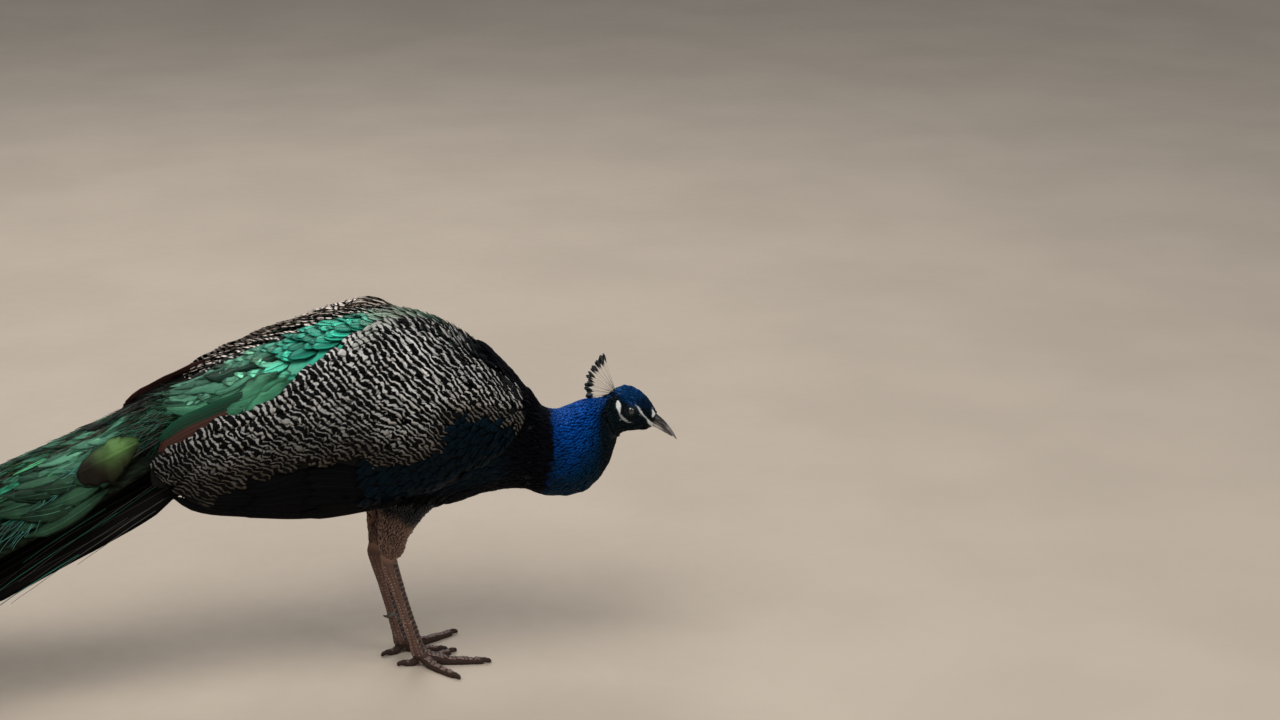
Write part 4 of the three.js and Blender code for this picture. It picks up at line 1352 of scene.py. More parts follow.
class PEACOCK_OT_wings(bpy.types.Operator):
    """Barred coverts, dark secondaries and chestnut primaries of both folded wings"""

    bl_idname = "peacock.wings"
    bl_label = "Wings"

    def execute(self, context):
        barred = barred_material()
        flight = vane_material("dark_feathers", 0.6, shine=0.0, barbs=40, edge=0.3, unevenness=0.5,
                               shaft=rgb("flight") * 3, shaft_width=0.03, gloss=0.04)
        chestnut = vane_material("chestnut_feathers", 0.5, shine=0.0, barbs=40, edge=-0.9, unevenness=0.4,
                                 shaft=rgb("chestnut") * 0.4, shaft_width=0.04)
        for name, side in SIDES.items():
            self.coverts(name, side, barred)
            self.secondaries(name, side, flight)
            self.primaries(name, side, chestnut)
        return {"FINISHED"}

    def coverts(self, name, side, material):
        rng = np.random.default_rng(sizes().seed + 20 + side)
        nodes = [f"wing_coverts_{name}", f"wing_secondaries_{name}"]
        sheet = band_sheet(nodes, side, 135, -312, 325, (6, 150), rows=72, columns=49)
        s, f = tight_rows(rng, sheet, lambda t: (0.0066 + 0.0034 * t, 0.0085 + 0.0045 * t), 0.5,
                          (-0.012, 0.985, -0.01, 1.01))
        count = len(s)
        length = (0.019 + 0.016 * s) * rng.uniform(0.85, 1.15, count)
        width = (0.0125 + 0.0085 * s) * rng.uniform(0.9, 1.1, count)
        rows, columns = 6, 5
        edge = (1 - ease(f, 0.02, 0.13)) * ease(s, 0.24, 0.36) * (0.0095 if side > 0 else 0.002)
        lift = (edge - 0.0015, edge + 0.0016 + rng.uniform(0, 0.0009, count))
        points = lay_vanes(sheet, s, f, length, width, rows, columns, leaf, lift, rng.normal(0, 0.12, count),
                           ragged=0.05, arch=0.07, seed=21)
        tip = bird_mm(points[:, rows * (columns + 1) + columns // 2])
        above = tip[:, 2] - np.interp(tip[:, 0], *zip(*BAR_EDGE)) + rng.normal(0, 1.2, count)
        roots, _ = sheet.at(s, f)
        # Painted light and shade: the pale bars are lighter high on the wing and at its front top, and darker
        # low down and towards the rear, browner just above their lower edge.
        front = 45 * ease(tip[:, 0], 0, 60) * ease(tip[:, 2], 350, 376)
        lit = 0.20 + 0.80 * ease(above + 12 * wobble(roots, 0.05, 3) + front, 0, 80)
        lit = lit * (1 - 0.14 * ease(tip[:, 0], -230, -190) * (1 - ease(tip[:, 0], -40, 0)))
        lit = lit * (0.62 + 0.38 * ease(tip[:, 0], -300, -150)) * rng.uniform(0.85, 1.12, count)
        lit = lit * (1 + 0.35 * ease(above, 70, 110))
        tints = np.concatenate([rgb("bar_pale") * lit[:, None], np.zeros((count, 1))], 1)
        tints[:, :3] *= blend_to(np.ones((count, 3)), (1.05, 0.95, 0.82), 1 - ease(above, 4, 40))
        x, _, z = bird_mm(roots).T
        # Greyer green, shimmering tone along the top of the coverts, next to the back.
        grey_green_top = ease(z, 442, 455) * ease(x, -75, -30) * (1 - ease(x, 30, 70))
        tints = blend_to(tints, (0.38, 0.40, 0.34, 0.8), grey_green_top)
        # Painted highlight: the top of the far wing is lighter and warmer, where the light falls on it.
        far_top = (side > 0) * ease(z, 385, 410) * (1 - ease(x, -20, 20))
        tints = blend_to(tints, (0.80, 0.69, 0.61, 0.34), far_top)
        barred = ((above > 0) | ((s < 0.02) & (tip[:, 2] > 316)))
        barred &= tip[:, 0] > -317 + 0.8 * np.abs(tip[:, 2] - 311)
        teal = ~barred & (tip[:, 0] > -70) & (above > -75)
        plain = vane_material(f"wing_shoulder_{name}", 0.5, barbs=14, edge=0.3, unevenness=0.5, gloss=0.04)
        shades = even_tints(count, rgb("teal"), 0.5)
        form = vane_form(rows, columns)
        for title, slot, chosen, tint, look, bars in (
            ("coverts", "barred_feathers", barred, tints, material, bar_layer(points, form, rng)[barred]),
            ("shoulder", "dark_feathers", teal, shades, plain, None),
        ):
            coat_piece(f"wing_{title}_{name}_feathers", points[chosen], form, roots[chosen],
                       tint[chosen], look, (PATCH, PATCH * 6), bars)

    def secondaries(self, name, side, material):
        rng = np.random.default_rng(sizes().seed + 30 + side)
        sheet = band_sheet([f"wing_secondaries_{name}"], side, 70, -284, 320, (86, 134), rows=48, columns=17)
        tiers = [(0.0, 0.36), (0.2, 0.36), (0.4, 0.36), (0.6, 0.38)]
        s, f, length = [], [], []
        for start, long in tiers:
            places = np.linspace(0.02, 1.11, 9)
            s += list(start + rng.uniform(-0.03, 0.03, 9))
            f += list(places)
            length += [long * 0.365 * k for k in rng.uniform(0.92, 1.08, 9)]
        s, f, length = np.array(s), np.array(f), np.array(length)
        count = len(s)
        rows, columns = 12, 5
        points = lay_vanes(sheet, s, f, length, np.full(count, 0.017), rows, columns,
                           lambda t: leaf(t, 0.85, 0.12, 0.6), (-0.0035, -0.0002), 0.0, ragged=0.012, seed=31)
        tints = even_tints(count, rgb("flight"), 0.3)
        coat_piece(f"wing_secondaries_{name}_feathers", points, vane_form(rows, columns),
                   sheet.at(s, f)[0], tints, material)

    def primaries(self, name, side, material):
        rng = np.random.default_rng(sizes().seed + 40 + side)
        front, rear = (-162, -345) if side > 0 else (-142, -307)
        sheet = band_sheet([f"wing_primaries_{name}"], side, front, rear, 300, (20, 110), rows=48, columns=17)
        number = 9
        f = np.linspace(0.0, 0.98, number)
        s = np.linspace(0.16, 0.0, number) + rng.uniform(-0.02, 0.02, number)
        length = np.linspace(0.82, 1.0, number) * (front - rear) * MM * 1.03
        rows, columns = 14, 5
        points = lay_vanes(sheet, s, f, length, np.full(number, 0.017), rows, columns,
                           lambda t: leaf(t, 0.85, 0.1, 0.6), (-0.0005, 0.001), 0.0, ragged=0.01, seed=41)
        points = points + np.array([0, 0, 0.0003]) * np.arange(number)[::-1, None, None]
        tints = even_tints(number, rgb("chestnut"), 0.0)
        # Painted light and shade: the far primaries are lighter at the top and darken down the wing.
        if side > 0:
            tints[:, :3] *= np.linspace(1.3, 0.1, number)[:, None] ** 1.6
        else:
            tints[:2, :3] = rgb("train") * 0.25
        coat_piece(f"wing_primaries_{name}_feathers", points, vane_form(rows, columns),
                   sheet.at(s, f)[0], tints, material, nodes=[f"wing_primaries_{name}"])


class PEACOCK_OT_back(bpy.types.Operator):
    """Scales of the mantle and the emerald back, and the silky plumes of the jade rump"""

    bl_idname = "peacock.back"
    bl_label = "Back"

    def execute(self, context):
        rng = np.random.default_rng(sizes().seed + 50)
        sheet = band_sheet(["trunk", "train_root"], 1, 138, -470, (325, 190), (-62, 62), 120, 61, 8)
        s, f = tight_rows(rng, sheet, lambda t: (0.0062 + 0.012 * t, 0.0078 + 0.011 * t), 0.5,
                          (0.0, 0.62, 0.02, 0.98), 0.2)
        roots = sheet.at(s, f)[0]
        x, y, _ = bird_mm(roots).T
        near = np.interp(x, [-235, -160, -80, -40, 0, 40, 75, 100], [62, 54, 44, 36, 22, 5, -10, -26])
        far = np.interp(x, [-235, -120, -35, 0, 40], [-12, -4, 4, 14, 62])
        keep = (y > -62) & (y < 52) & ((y > -near) | (x > -20))
        s, f, count = s[keep], f[keep], keep.sum()
        barred = (((y < -near) & (x < 90)) | (y > far))[keep]
        x, y = x[keep], y[keep]
        tints = self.tints(sheet, s, f)
        tints[:, :3] *= rng.uniform(0.35, 1.35, (count, 1))
        bronze = (rng.random(count) < 0.08) & (x < -120)
        tints[bronze, :3] = tints[bronze, :3] * 0.4 + rgb("bronze") * 0.3
        # Paler grey-green over the middle of the back.
        grey_green_middle = ease(x, -35, -5) * (1 - ease(x + 0.5 * y, 20, 60))
        tints[:, :3] = blend_to(tints[:, :3], (0.34, 0.37, 0.29), 0.85 * grey_green_middle)
        fringe = ease(x, 5, 25) * (1 - ease(x, 45, 70)) * ease(y, -18, 0)
        tints[:, :3] = blend_to(tints[:, :3], (0.17, 0.31, 0.21), 0.6 * fringe)
        # Painted shade on the far half of the rear back, beside the far wing.
        tints[:, :3] *= (1 - 0.92 * (1 - ease(x, -200, -180)) * ease(y, -24, -12))[:, None]
        length = (0.017 + 0.040 * s) * rng.uniform(0.85, 1.2, count)
        width = (0.0125 + 0.022 * s) * rng.uniform(0.85, 1.1, count)
        rows, columns = 6, 5
        rise = 0.008 * ease(y, 4, 32) * ease(-x, -30, 30)
        lift = (rise - 0.0035, rise + 0.0016 + 0.003 * s + rng.uniform(0, 0.0015, count))
        length, width = length * (1 - 0.25 * barred), width * (1 - 0.25 * barred)
        points = lay_vanes(sheet, s, f, length, width, rows, columns, lambda t: leaf(t, 0.5, 0.25, 0.5), lift,
                           rng.normal(0, 0.10, count), ragged=0.07, arch=0.07, seed=51)
        material = vane_material("back_feathers", 0.36, barbs=20, edge=0.75, unevenness=0.6,
                                 shaft=rgb("mantle") * 0.4, shaft_width=0.05)
        tints[barred] = [*rgb("bar_pale"), 0]
        tints[barred, :3] *= rng.uniform(0.95, 1.3, (barred.sum(), 1))
        # Painted highlight: the far scapulars are lighter and warmer, where the light falls on them.
        over = barred & (y > 0) & (x < 60)
        tints[over] = (0.86, 0.75, 0.66, 0.34)
        form = vane_form(rows, columns)
        bars = bar_layer(points, form, rng)
        across = (points[..., 0] + 0.45 * points[..., 1]) / (1.35 * sizes().bar_pitch)
        bars[over] = (across + rng.normal(0, 0.12, (count, 1)))[over]
        for name, slot, chosen, look, stored in (
            ("back_feathers", "body_feathers", ~barred, material, None),
            ("scapular_feathers", "barred_feathers", barred, barred_material(), bars[barred]),
        ):
            coat_piece(name, points[chosen], form, sheet.at(s, f)[0][chosen], tints[chosen], look,
                       (PATCH, PATCH * 2), stored)
        self.plumes(rng)
        return {"FINISHED"}

    def tints(self, sheet, s, f):
        points, normals = sheet.at(s, f)
        none = {key: np.zeros(len(s)) for key in ("thigh", "leg", "coverts", "secondaries")}
        return markings(points, normals, {**none, "back": np.ones(len(s))})

    def plumes(self, rng):
        """Long silky plumes that fall over the primaries and the root of the train."""
        nodes = ["trunk", "train_root", "wing_primaries_right", "wing_primaries_left"]
        sheet = band_sheet(nodes, 1, -150, -470, (300, 190), (-68, 68), rows=80, columns=61, rounds=10)
        s, f = tight_rows(rng, sheet, lambda t: (0.0125, 0.0155), 0.5, (-0.02, 0.80, 0.03, 0.97), 0.3)
        x, y, z = bird_mm(sheet.at(s, f)[0]).T
        level = np.interp(x, [-420, -335, -290, -240, -195, -150], [0, 325, 358, 360, 372, 412])
        near = np.interp(x, [-420, -335, -290, -240, -200, -170, -150], [0, 314, 360, 374, 376, 358, 347])
        keep = np.where(y < 0, z > near, (z > level) & (x < -185))
        s, f, x, y, count = s[keep], f[keep], x[keep], y[keep], keep.sum()
        tints = self.tints(sheet, s, f)
        tints[:, :3] = blend_to(tints[:, :3], rgb("train"), ease(-x, 330, 440) * 0.8)
        pick = rng.random(count)
        tints[pick < 0.22, :3] *= 0.2
        tints[:, :3] *= rng.uniform(0.45, 1.3, (count, 1))
        tints[:, :3] = blend_to(tints[:, :3], rgb("jade") * [0.5, 0.72, 0.6], ease(-y, 42, 56) * 0.85)
        # Painted shade: near black on the far side of the rump, beside the far wing.
        dark = ease(y - np.interp(x, [-340, -290, -240, -200], [8, -24, -29, -12]), -5, 5)
        tints = blend_to(tints, (0.006, 0.004, 0.003, 0), dark * (1 - ease(-x, 330, 355)))
        # Painted shade: dark olive low on the near side, just above the primaries.
        tints = blend_to(tints, (0.012, 0.022, 0.010, 0.2), ease(-y, 40, 54) * ease(-x, 240, 262) * 0.85)
        length = rng.uniform(0.065, 0.115, count)
        width = rng.uniform(0.013, 0.026, count)
        rows, columns = 9, 5
        over = 0.0045 * ease(-y, 46, 60)
        lift = (over - 0.001, over + rng.uniform(0.003, 0.0065, count))
        turn = rng.normal(0, 0.10, count) + (f - 0.5) * 0.15
        points = lay_vanes(sheet, s, f, length, width, rows, columns, lambda t: leaf(t, 0.55, 0.3, 0.75),
                           lift, turn, ragged=0.10, arch=0.16, seed=52, bend=0.25)
        material = vane_material("rump_plumes", 0.38, barbs=46, edge=0.45, unevenness=0.9, relief=0.25,
                                 shaft=rgb("jade") * 0.6, shaft_width=0.02)
        coat_piece("rump_plumes", points, vane_form(rows, columns), sheet.at(s, f)[0],
                   tints, material, (PATCH, PATCH * 3))


# ---------------------------------------------------------------- tail and train
def rim_of(rows, columns):
    """Indices of the points round the edge of a grid."""
    last = (rows - 1) * columns
    rim = list(range(0, last, columns)) + list(range(last, last + columns))
    return rim + list(range(last - 1, columns - 2, -columns)) + list(range(columns - 2, 0, -1))


def slab(name, nodes, front, rear, drop, material):
    """Closed under layer between the top and the underside of CAD nodes, lowered by drop metres."""
    top = roof_sheet(nodes, front, rear, rows=110, columns=25)
    tree = tree_of(*nodes)
    grid = top.grid
    under = grid.copy()
    for i in range(grid.shape[0]):
        for j in range(grid.shape[1]):
            hit = tree.ray_cast(Vector((grid[i, j, 0], grid[i, j, 1], -0.1)), Vector((0, 0, 1)))[0]
            if hit is not None:
                under[i, j, 2] = hit.z
    thin = np.maximum(grid[..., 2] - under[..., 2], 0.002)
    lowered = grid.copy()
    lowered[..., 2] -= np.minimum(drop, 0.4 * thin)
    under[..., 2] += np.minimum(drop * 0.3, 0.15 * thin)
    rows, columns = grid.shape[:2]
    points = np.concatenate([lowered.reshape(-1, 3), under.reshape(-1, 3)])
    below = rows * columns

    def at(i, j):
        return i * columns + j

    faces = []
    for i in range(rows - 1):
        for j in range(columns - 1):
            quad = [at(i, j), at(i + 1, j), at(i + 1, j + 1), at(i, j + 1)]
            faces.append(quad)
            faces.append([below + k for k in reversed(quad)])
    rim = rim_of(rows, columns)
    for a, b in zip(rim, rim[1:] + rim[:1]):
        faces.append([b, a, below + a, below + b])
    mesh = mesh_of(name, points, faces)
    outward(mesh)
    return object_of(name, mesh, material)


def under_material(name, dark, light):
    """Dark mass of feathers seen between the vanes, darker than the vanes above it as painted shade, with
    streaks along the bird.
    """
    graph = Finish(name)
    streak = graph.noise(60.0, 5.0, (1.0, 9.0, 3.0))
    return graph.surface(streak, 2.0, 0.8, Base_Color=graph.mix(graph.ramp(streak, 0.4, 0.7), dark, light),
                         Roughness=graph.ramp(streak, 0.3, 0.7, 0.6, 0.8), Specular_IOR_Level=0.05)


def strips(start, way, side, up, length, width, curve, rise, rows=3):
    """Thin three-sided strips, one for each start. curve bends them sideways, rise lifts their tips."""
    along = np.linspace(0, 1, rows + 1)[None, :, None]
    line = start[:, None] + way[:, None] * length[:, None, None] * along
    line = line + side[:, None] * (curve[:, None, None] * length[:, None, None]) * along**2
    line = line + up[:, None] * rise[:, None, None] * along**1.5
    half = width[:, None, None] / 2 * (1 - 0.75 * along)
    aside = unit(np.cross(up, way))[:, None]
    left, right = line + aside * half, line - aside * half
    ridge = line + up[:, None] * half * 0.9
    return np.stack([right, ridge, left], 2).reshape(len(start), -1, 3)


def strip_form(rows=3):
    """Faces of one strip and its map."""
    faces = []
    for k in range(rows):
        for a, b in ((0, 1), (1, 2), (2, 0)):
            faces.append((3 * k + a, 3 * k + 3 + a, 3 * k + 3 + b, 3 * k + b))
    faces += [(0, 1, 2), (3 * rows + 2, 3 * rows + 1, 3 * rows)]
    return faces, form_map(rows, np.array([0.1, 0.5, 0.9]))


def eye_spot_material():
    """Rings of the train's eye spots, from the vane's own coordinates."""
    graph = Finish("train_eye_spots")
    across, along = graph.uv("vane")
    aside = graph.math("ABSOLUTE", (across - 0.5) * 0.92)
    along = graph.math("ABSOLUTE", along - 0.56)
    notch = graph.ramp(aside, 0.09, 0.0) * 0.05
    gap = graph.math("SQRT", graph.math("POWER", aside, 2.0) + graph.math("POWER", along, 2.0))
    gap = gap + (graph.noise(500.0) - 0.5) * 0.03
    colour = graph.mix(graph.ramp(gap, 0.42, 0.5), rgb("bronze") * 1.5, rgb("train"))
    for distance, outer, inner, ring in (
        (gap, 0.39, 0.36, (0.20, 0.22, 0.03)),
        (gap, 0.35, 0.33, (0.17, 0.062, 0.015)),
        (gap, 0.245, 0.22, (0.002, 0.24, 0.30)),
        (gap + notch, 0.16, 0.135, (0.006, 0.006, 0.09)),
    ):
        colour = graph.mix(graph.ramp(distance, outer, inner), colour, ring)
    vane = graph.placed(vane_finish, Tint=colour, Shaft=colour, Barbs=26.0, Shaft_Width=0.03, Edge_Shade=0.1,
                        Unevenness=0.25)
    return graph.surface(vane.outputs["Height"], 0.12, Base_Color=vane, Metallic=0.55,
                         Roughness=graph.patchy(200.0, 0.3, 0.42))


class PEACOCK_OT_tail(bpy.types.Operator):
    """Dark brown true tail under the train"""

    bl_idname = "peacock.tail"
    bl_label = "Tail"

    def execute(self, context):
        rng = np.random.default_rng(sizes().seed + 60)
        # The under layer is darker than the tail's vanes: painted shade between them.
        under = slab("tail_underlayer", ["tail"], -225, -574, 0.003,
                     under_material("tail_underlayer", rgb("tail") * 0.35, rgb("tail") * 0.9))
        finish(under, ["tail"])
        material = vane_material("tail_feathers", 0.6, shine=0.0, barbs=60, edge=0.35, unevenness=0.6,
                                 gloss=0.05, shaft=(0.035, 0.030, 0.027), shaft_width=0.03)
        sheet = roof_sheet(["tail"], -225, -574, rows=80, columns=25)
        number = 20
        f = np.concatenate([np.linspace(0.0, 1.0, number // 2), np.linspace(0.06, 0.94, number // 2)])
        s = rng.uniform(0.02, 0.16, number)
        end = 1.035 - 0.22 * np.abs(f - 0.5) ** 1.3 * 2 - rng.uniform(0, 0.05, number)
        length = (end - s) * 0.395
        rows, columns = 16, 5
        points = lay_vanes(sheet, s, f, length, np.full(number, 0.027), rows, columns,
                           lambda t: leaf(t, 0.9, 0.15, 0.45), (-0.002, 0.0012), 0.0, ragged=0.012, seed=61)
        tints = even_tints(number, rgb("tail"), 0.0)
        tints[:, :3] *= rng.uniform(0.7, 1.3, (number, 1))
        coat_piece("tail_feathers", points, vane_form(rows, columns),
                   sheet.at(s, np.clip(f, 0, 1))[0], tints, material)
        self.loose_shafts(rng, sheet)
        return {"FINISHED"}

    def loose_shafts(self, rng, sheet):
        """Thin pale shafts of train feathers that hang beside the tail."""
        number, rows, columns = 18, 20, 3
        side = np.tile([0, 1], number // 2)
        f = np.where(side, rng.uniform(0.86, 1.05, number), rng.uniform(-0.05, 0.14, number))
        s = rng.uniform(0.12, 0.5, number)
        length = rng.uniform(0.10, 0.24, number)
        turn = np.where(side, 1, -1) * rng.uniform(0.02, 0.10, number)
        points = lay_vanes(sheet, s, f, length, rng.uniform(0.0010, 0.0019, number), rows, columns,
                           lambda t: 1 - 0.6 * t, (0.004, rng.uniform(0.003, 0.009, number)), turn,
                           ragged=0.0, arch=0.5, seed=62, bend=0.12)
        tints = even_tints(number, (0.08, 0.08, 0.07), 0.0)
        teal = rng.random(number) < 0.45
        tints[teal] = [0.05, 0.22, 0.16, 0.5]
        material = vane_material("loose_shafts", 0.5, barbs=9, edge=0.1, unevenness=0.7)
        coat_piece("loose_shafts", points, vane_form(rows, columns),
                   sheet.at(s, np.clip(f, 0, 1))[0], tints, material)


class PEACOCK_OT_train(bpy.types.Operator):
    """Train: under layer, shafts with loose barbs, flat vanes, eye spots and forked ends"""

    bl_idname = "peacock.train"
    bl_label = "Train"

    def execute(self, context):
        nodes = ["train_root", "train_middle", "train_end"]
        # The under layer is near black: painted shade between the train's vanes.
        under = slab("train_underlayer", nodes, -240, -1304, 0.005,
                     under_material("train_underlayer", (0.003, 0.004, 0.003), (0.012, 0.020, 0.010)))
        finish(under, nodes)
        self.rng = np.random.default_rng(sizes().seed + 70)
        self.sheet = roof_sheet(nodes, -238, -1304, rows=150, columns=33, rounds=8)
        s, f = self.spot_places()
        self.shafts(s, f)
        self.barbs(s, f)
        self.spots(s, f)
        self.flat_vanes()
        self.broad_feather()
        return {"FINISHED"}

    def broad_feather(self):
        """Broad feather on each side of the train's root, green above and brown below."""
        rows, columns = 18, 15
        spots = np.array([[-345, -56, 321], [-345, 56, 321]])
        grid = self.sheet.grid.reshape(-1, 3)
        sheet_rows, sheet_columns = self.sheet.grid.shape[:2]
        nearest = [np.linalg.norm(grid - spot, axis=1).argmin() for spot in place(spots)]
        s, f = np.divmod(nearest, sheet_columns)
        s, f = s / (sheet_rows - 1) - 0.024, f / (sheet_columns - 1)
        points = lay_vanes(self.sheet, s, f, np.full(2, 0.082), np.full(2, 0.057), rows, columns,
                           lambda t: leaf(t, 0.45, 0.45, 0.55), (0.004, 0.0095), ragged=0.05, arch=0.22,
                           seed=73)
        across, along = vane_form(rows, columns)[1].T
        down = np.stack([1 - across, across]) if f[0] < f[1] else np.stack([across, 1 - across])
        tints = np.tile([0.13, 0.26, 0.075, 0.4], (2, len(across), 1))
        tints[..., :3] = blend_to(tints[..., :3], (0.055, 0.07, 0.024), ease(down, 0.35, 0.9))
        tints[..., :3] = blend_to(tints[..., :3], (0.016, 0.012, 0.007), ease(along + 0.4 * down, 0.45, 1.0))
        material = vane_material("broad_train_feather", 0.4, barbs=55, edge=0.4, unevenness=0.8, relief=0.3)
        coat_piece("train_broad_feathers", points, vane_form(rows, columns),
                   self.sheet.at(s, f)[0], tints, material, (PATCH * 3, PATCH * 3))

    def spot_places(self):
        """Ends of the long feathers, in staggered rows down the train."""
        s, f, odd = [], [], 0
        row = 0.30
        while row < 0.985:
            width = self.sheet.scale(np.array([row]), np.array([0.5]))[1][0]
            number = max(3, int(width / 0.047))
            places = (np.arange(number) + (0.75 if odd else 0.25)) / number
            s += list(row + self.rng.uniform(-0.012, 0.012, number))
            f += list(np.clip(places + self.rng.normal(0, 0.02, number), 0.03, 0.97))
            row += 0.050
            odd = 1 - odd
        return np.array(s), np.array(f)

    def layer_height(self, s, end):
        """Shorter feathers lie over longer ones."""
        return 0.0010 + 0.0035 * (1 - end) * (s > 0)

    def shaft_line(self, end_s, end_f, steps):
        """Line of each shaft from the rump to its end, as s and f."""
        start = np.maximum(end_s - 0.62, 0.02)
        t = np.linspace(0, 1, steps)[None]
        s = start[:, None] + (end_s - start)[:, None] * t
        f = 0.5 + (end_f - 0.5)[:, None] * (0.94 + 0.06 * t)
        return s, f

    def shafts(self, end_s, end_f):
        rows = 18
        s, f = self.shaft_line(end_s, end_f, rows + 1)
        points, normals = self.sheet.at(s, f)
        line = points + normals * (self.layer_height(s, end_s[:, None]) + 0.0006)[..., None]
        way = unit(np.gradient(line, axis=1))
        side = unit(np.cross(normals, way))
        half = np.linspace(0.0008, 0.0004, rows + 1)[None, :, None]
        ring = np.stack([line - side * half, line + normals * half * 1.1, line + side * half], 2)
        graph = Finish("train_shafts")
        stain = graph.ramp(graph.noise(90.0, 3.0), 0.35, 0.7)
        material = graph.surface(graph.noise(900.0), 0.1, Roughness=graph.patchy(300.0, 0.6, 0.75),
                                 Base_Color=graph.mix(stain, (0.045, 0.038, 0.026), (0.014, 0.012, 0.009)))
        tints = even_tints(len(end_s), (0.2, 0.16, 0.1), 0.0)
        coat_piece("train_shafts", ring.reshape(len(end_s), -1, 3), strip_form(rows),
                   points[:, 0], tints, material)

    def barbs(self, end_s, end_f):
        """Loose barbs down both sides of every shaft."""
        rng = self.rng
        per_shaft = 96
        share = np.linspace(0.02, 0.97, per_shaft)
        start = np.maximum(end_s - 0.62, 0.02)
        t = share[None] + rng.normal(0, 0.004, (len(end_s), per_shaft))
        s = start[:, None] + (end_s - start)[:, None] * t
        f = 0.5 + (end_f - 0.5)[:, None] * (0.94 + 0.06 * t)
        s, f = np.repeat(s.ravel(), 2), np.repeat(f.ravel(), 2)
        ends = np.repeat(end_s, per_shaft * 2)
        count = len(s)
        side = np.tile([1.0, -1.0], count // 2)
        points, normals = self.sheet.at(s, f)
        ahead, _ = self.sheet.at(s + 0.002, f)
        along = unit(ahead - points)
        across = unit(np.cross(normals, along)) * side[:, None]
        angle = rng.normal(0.42, 0.13, count)
        way = along * np.cos(angle)[:, None] + across * np.sin(angle)[:, None]
        length = rng.uniform(0.026, 0.044, count) * (0.75 + 0.25 * ease(s, 0.05, 0.3))
        base = points + normals * (self.layer_height(s, ends) + rng.uniform(-0.002, 0.0012, count))[:, None]
        made = strips(base, way, -across, normals, length, rng.uniform(0.0007, 0.0014, count),
                      rng.uniform(0.05, 0.3, count), rng.uniform(-0.002, 0.003, count))
        tints = self.barb_tints(s, f)
        material = vane_material("train_barbs", 0.38, barbs=3, edge=0.0, unevenness=0.5, relief=0.03)
        self.strands(material)
        half = count // 2
        for index, chosen in enumerate((slice(0, half), slice(half, count))):
            coat_piece(f"train_barbs_{index + 1}", made[chosen], strip_form(),
                       points[chosen], tints[chosen], material)

    def strands(self, material):
        """Long silky strands that curl low on both sides of the train's root, and a few that trail."""
        rng, count, rows = np.random.default_rng(sizes().seed + 74), 170, 12
        trail = rng.random(count) < 0.12
        s = rng.uniform(0.125, 0.195, count)
        out = rng.uniform(0.28, 0.37, count) + (s - 0.125) * 1.3
        side = np.where(np.arange(count) % 2, 1.0, -1.0)
        f = 0.5 + side * out
        points, normals = self.sheet.at(s, f)
        along = unit(self.sheet.at(s + 0.002, f)[0] - points)
        across = unit(np.cross(normals, along))
        across = across * np.sign((across * (self.sheet.at(s, f + 0.01 * side)[0] - points)).sum(-1))[:, None]
        angle = np.where(trail, rng.uniform(0.20, 0.40, count), rng.normal(0.30, 0.25, count))
        way = along * np.cos(angle)[:, None] + across * np.sin(angle)[:, None]
        length = np.where(trail, rng.uniform(0.08, 0.13, count), rng.uniform(0.030, 0.060, count))
        curve = rng.uniform(-0.25, 0.15, count)
        base = points + normals * rng.uniform(0.003, 0.007, count)[:, None]
        made = strips(base, way, across, normals, length, rng.uniform(0.0008, 0.0014, count), curve,
                      rng.uniform(0.0, 0.004, count), rows).reshape(count, rows + 1, 3, 3)
        share = np.linspace(0, 1, rows + 1)
        wave = share * rng.uniform(0.8, 2.4, (count, 1)) + rng.random((count, 1))
        sway = np.sin(2 * np.pi * wave) * rng.uniform(0.0008, 0.0032, (count, 1)) * share
        made = (made + sway[..., None, None] * across[:, None, None]).reshape(count, -1, 3)
        tint = np.array([0.13, 0.42, 0.34]) * rng.uniform(0.25, 1.3, (count, 1))
        coat_piece("train_strands", made, strip_form(rows), points,
                   np.concatenate([tint, np.full((count, 1), 0.6)], 1), material)

    def shade(self, s, spots):
        """Brightness of the feathers: dark low on the sides of the root, and where the far wing covers it."""
        top = self.sheet.at(s, 0 * s + 0.5)[0]
        low = ease((top - spots)[:, 2], 0.024, 0.042) * (1 - ease(s, 0.35, 0.6))
        far = ease(spots[:, 1], -0.024, -0.012) * (1 - ease(s, 0.07, 0.11))
        return (1 - 0.95 * np.maximum(low, far))[:, None]

    def barb_tints(self, s, f):
        rng, count = self.rng, len(s)
        tint = np.tile(rgb("train"), (count, 1))
        tint = blend_to(tint, rgb("jade"), ease(-s, -0.35, -0.05) * 0.6)
        pick = rng.random(count)
        tint = np.where((pick < 0.30)[:, None], rgb("bronze"), tint)
        tint = np.where((pick > 0.80)[:, None], rgb("emerald") * 0.6, tint)
        tint = np.where((pick > 0.95)[:, None], [0.16, 0.36, 0.29], tint)
        tint = tint * rng.uniform(0.05, 1.15, (count, 1)) ** 1.3
        tints = np.concatenate([tint, rng.uniform(0.4, 0.8, (count, 1))], 1)
        return tints * self.shade(s, self.sheet.at(s, f)[0])

    def spots(self, s, f):
        count = len(s)
        length = self.rng.uniform(0.043, 0.050, count) * (0.72 + 0.28 * ease(s, 0.25, 0.6))
        per_s, _ = self.sheet.scale(s, f)
        rows, columns = 9, 9
        lift = 0.0025 + 0.0035 * (1 - s)
        points = lay_vanes(self.sheet, s - 0.75 * length / per_s, f, length, length * 0.92, rows, columns,
                           lambda t: leaf(t, 0.55, 0.5, 0.5), (lift - 0.001, lift),
                           self.rng.normal(0, 0.12, count), ragged=0.02, arch=0.08, seed=71)
        tints = even_tints(count, rgb("train"), 0.6)
        coat_piece("train_eye_spots", points, vane_form(rows, columns),
                   self.sheet.at(s, f)[0], tints, eye_spot_material(), (0.03, 0.03))

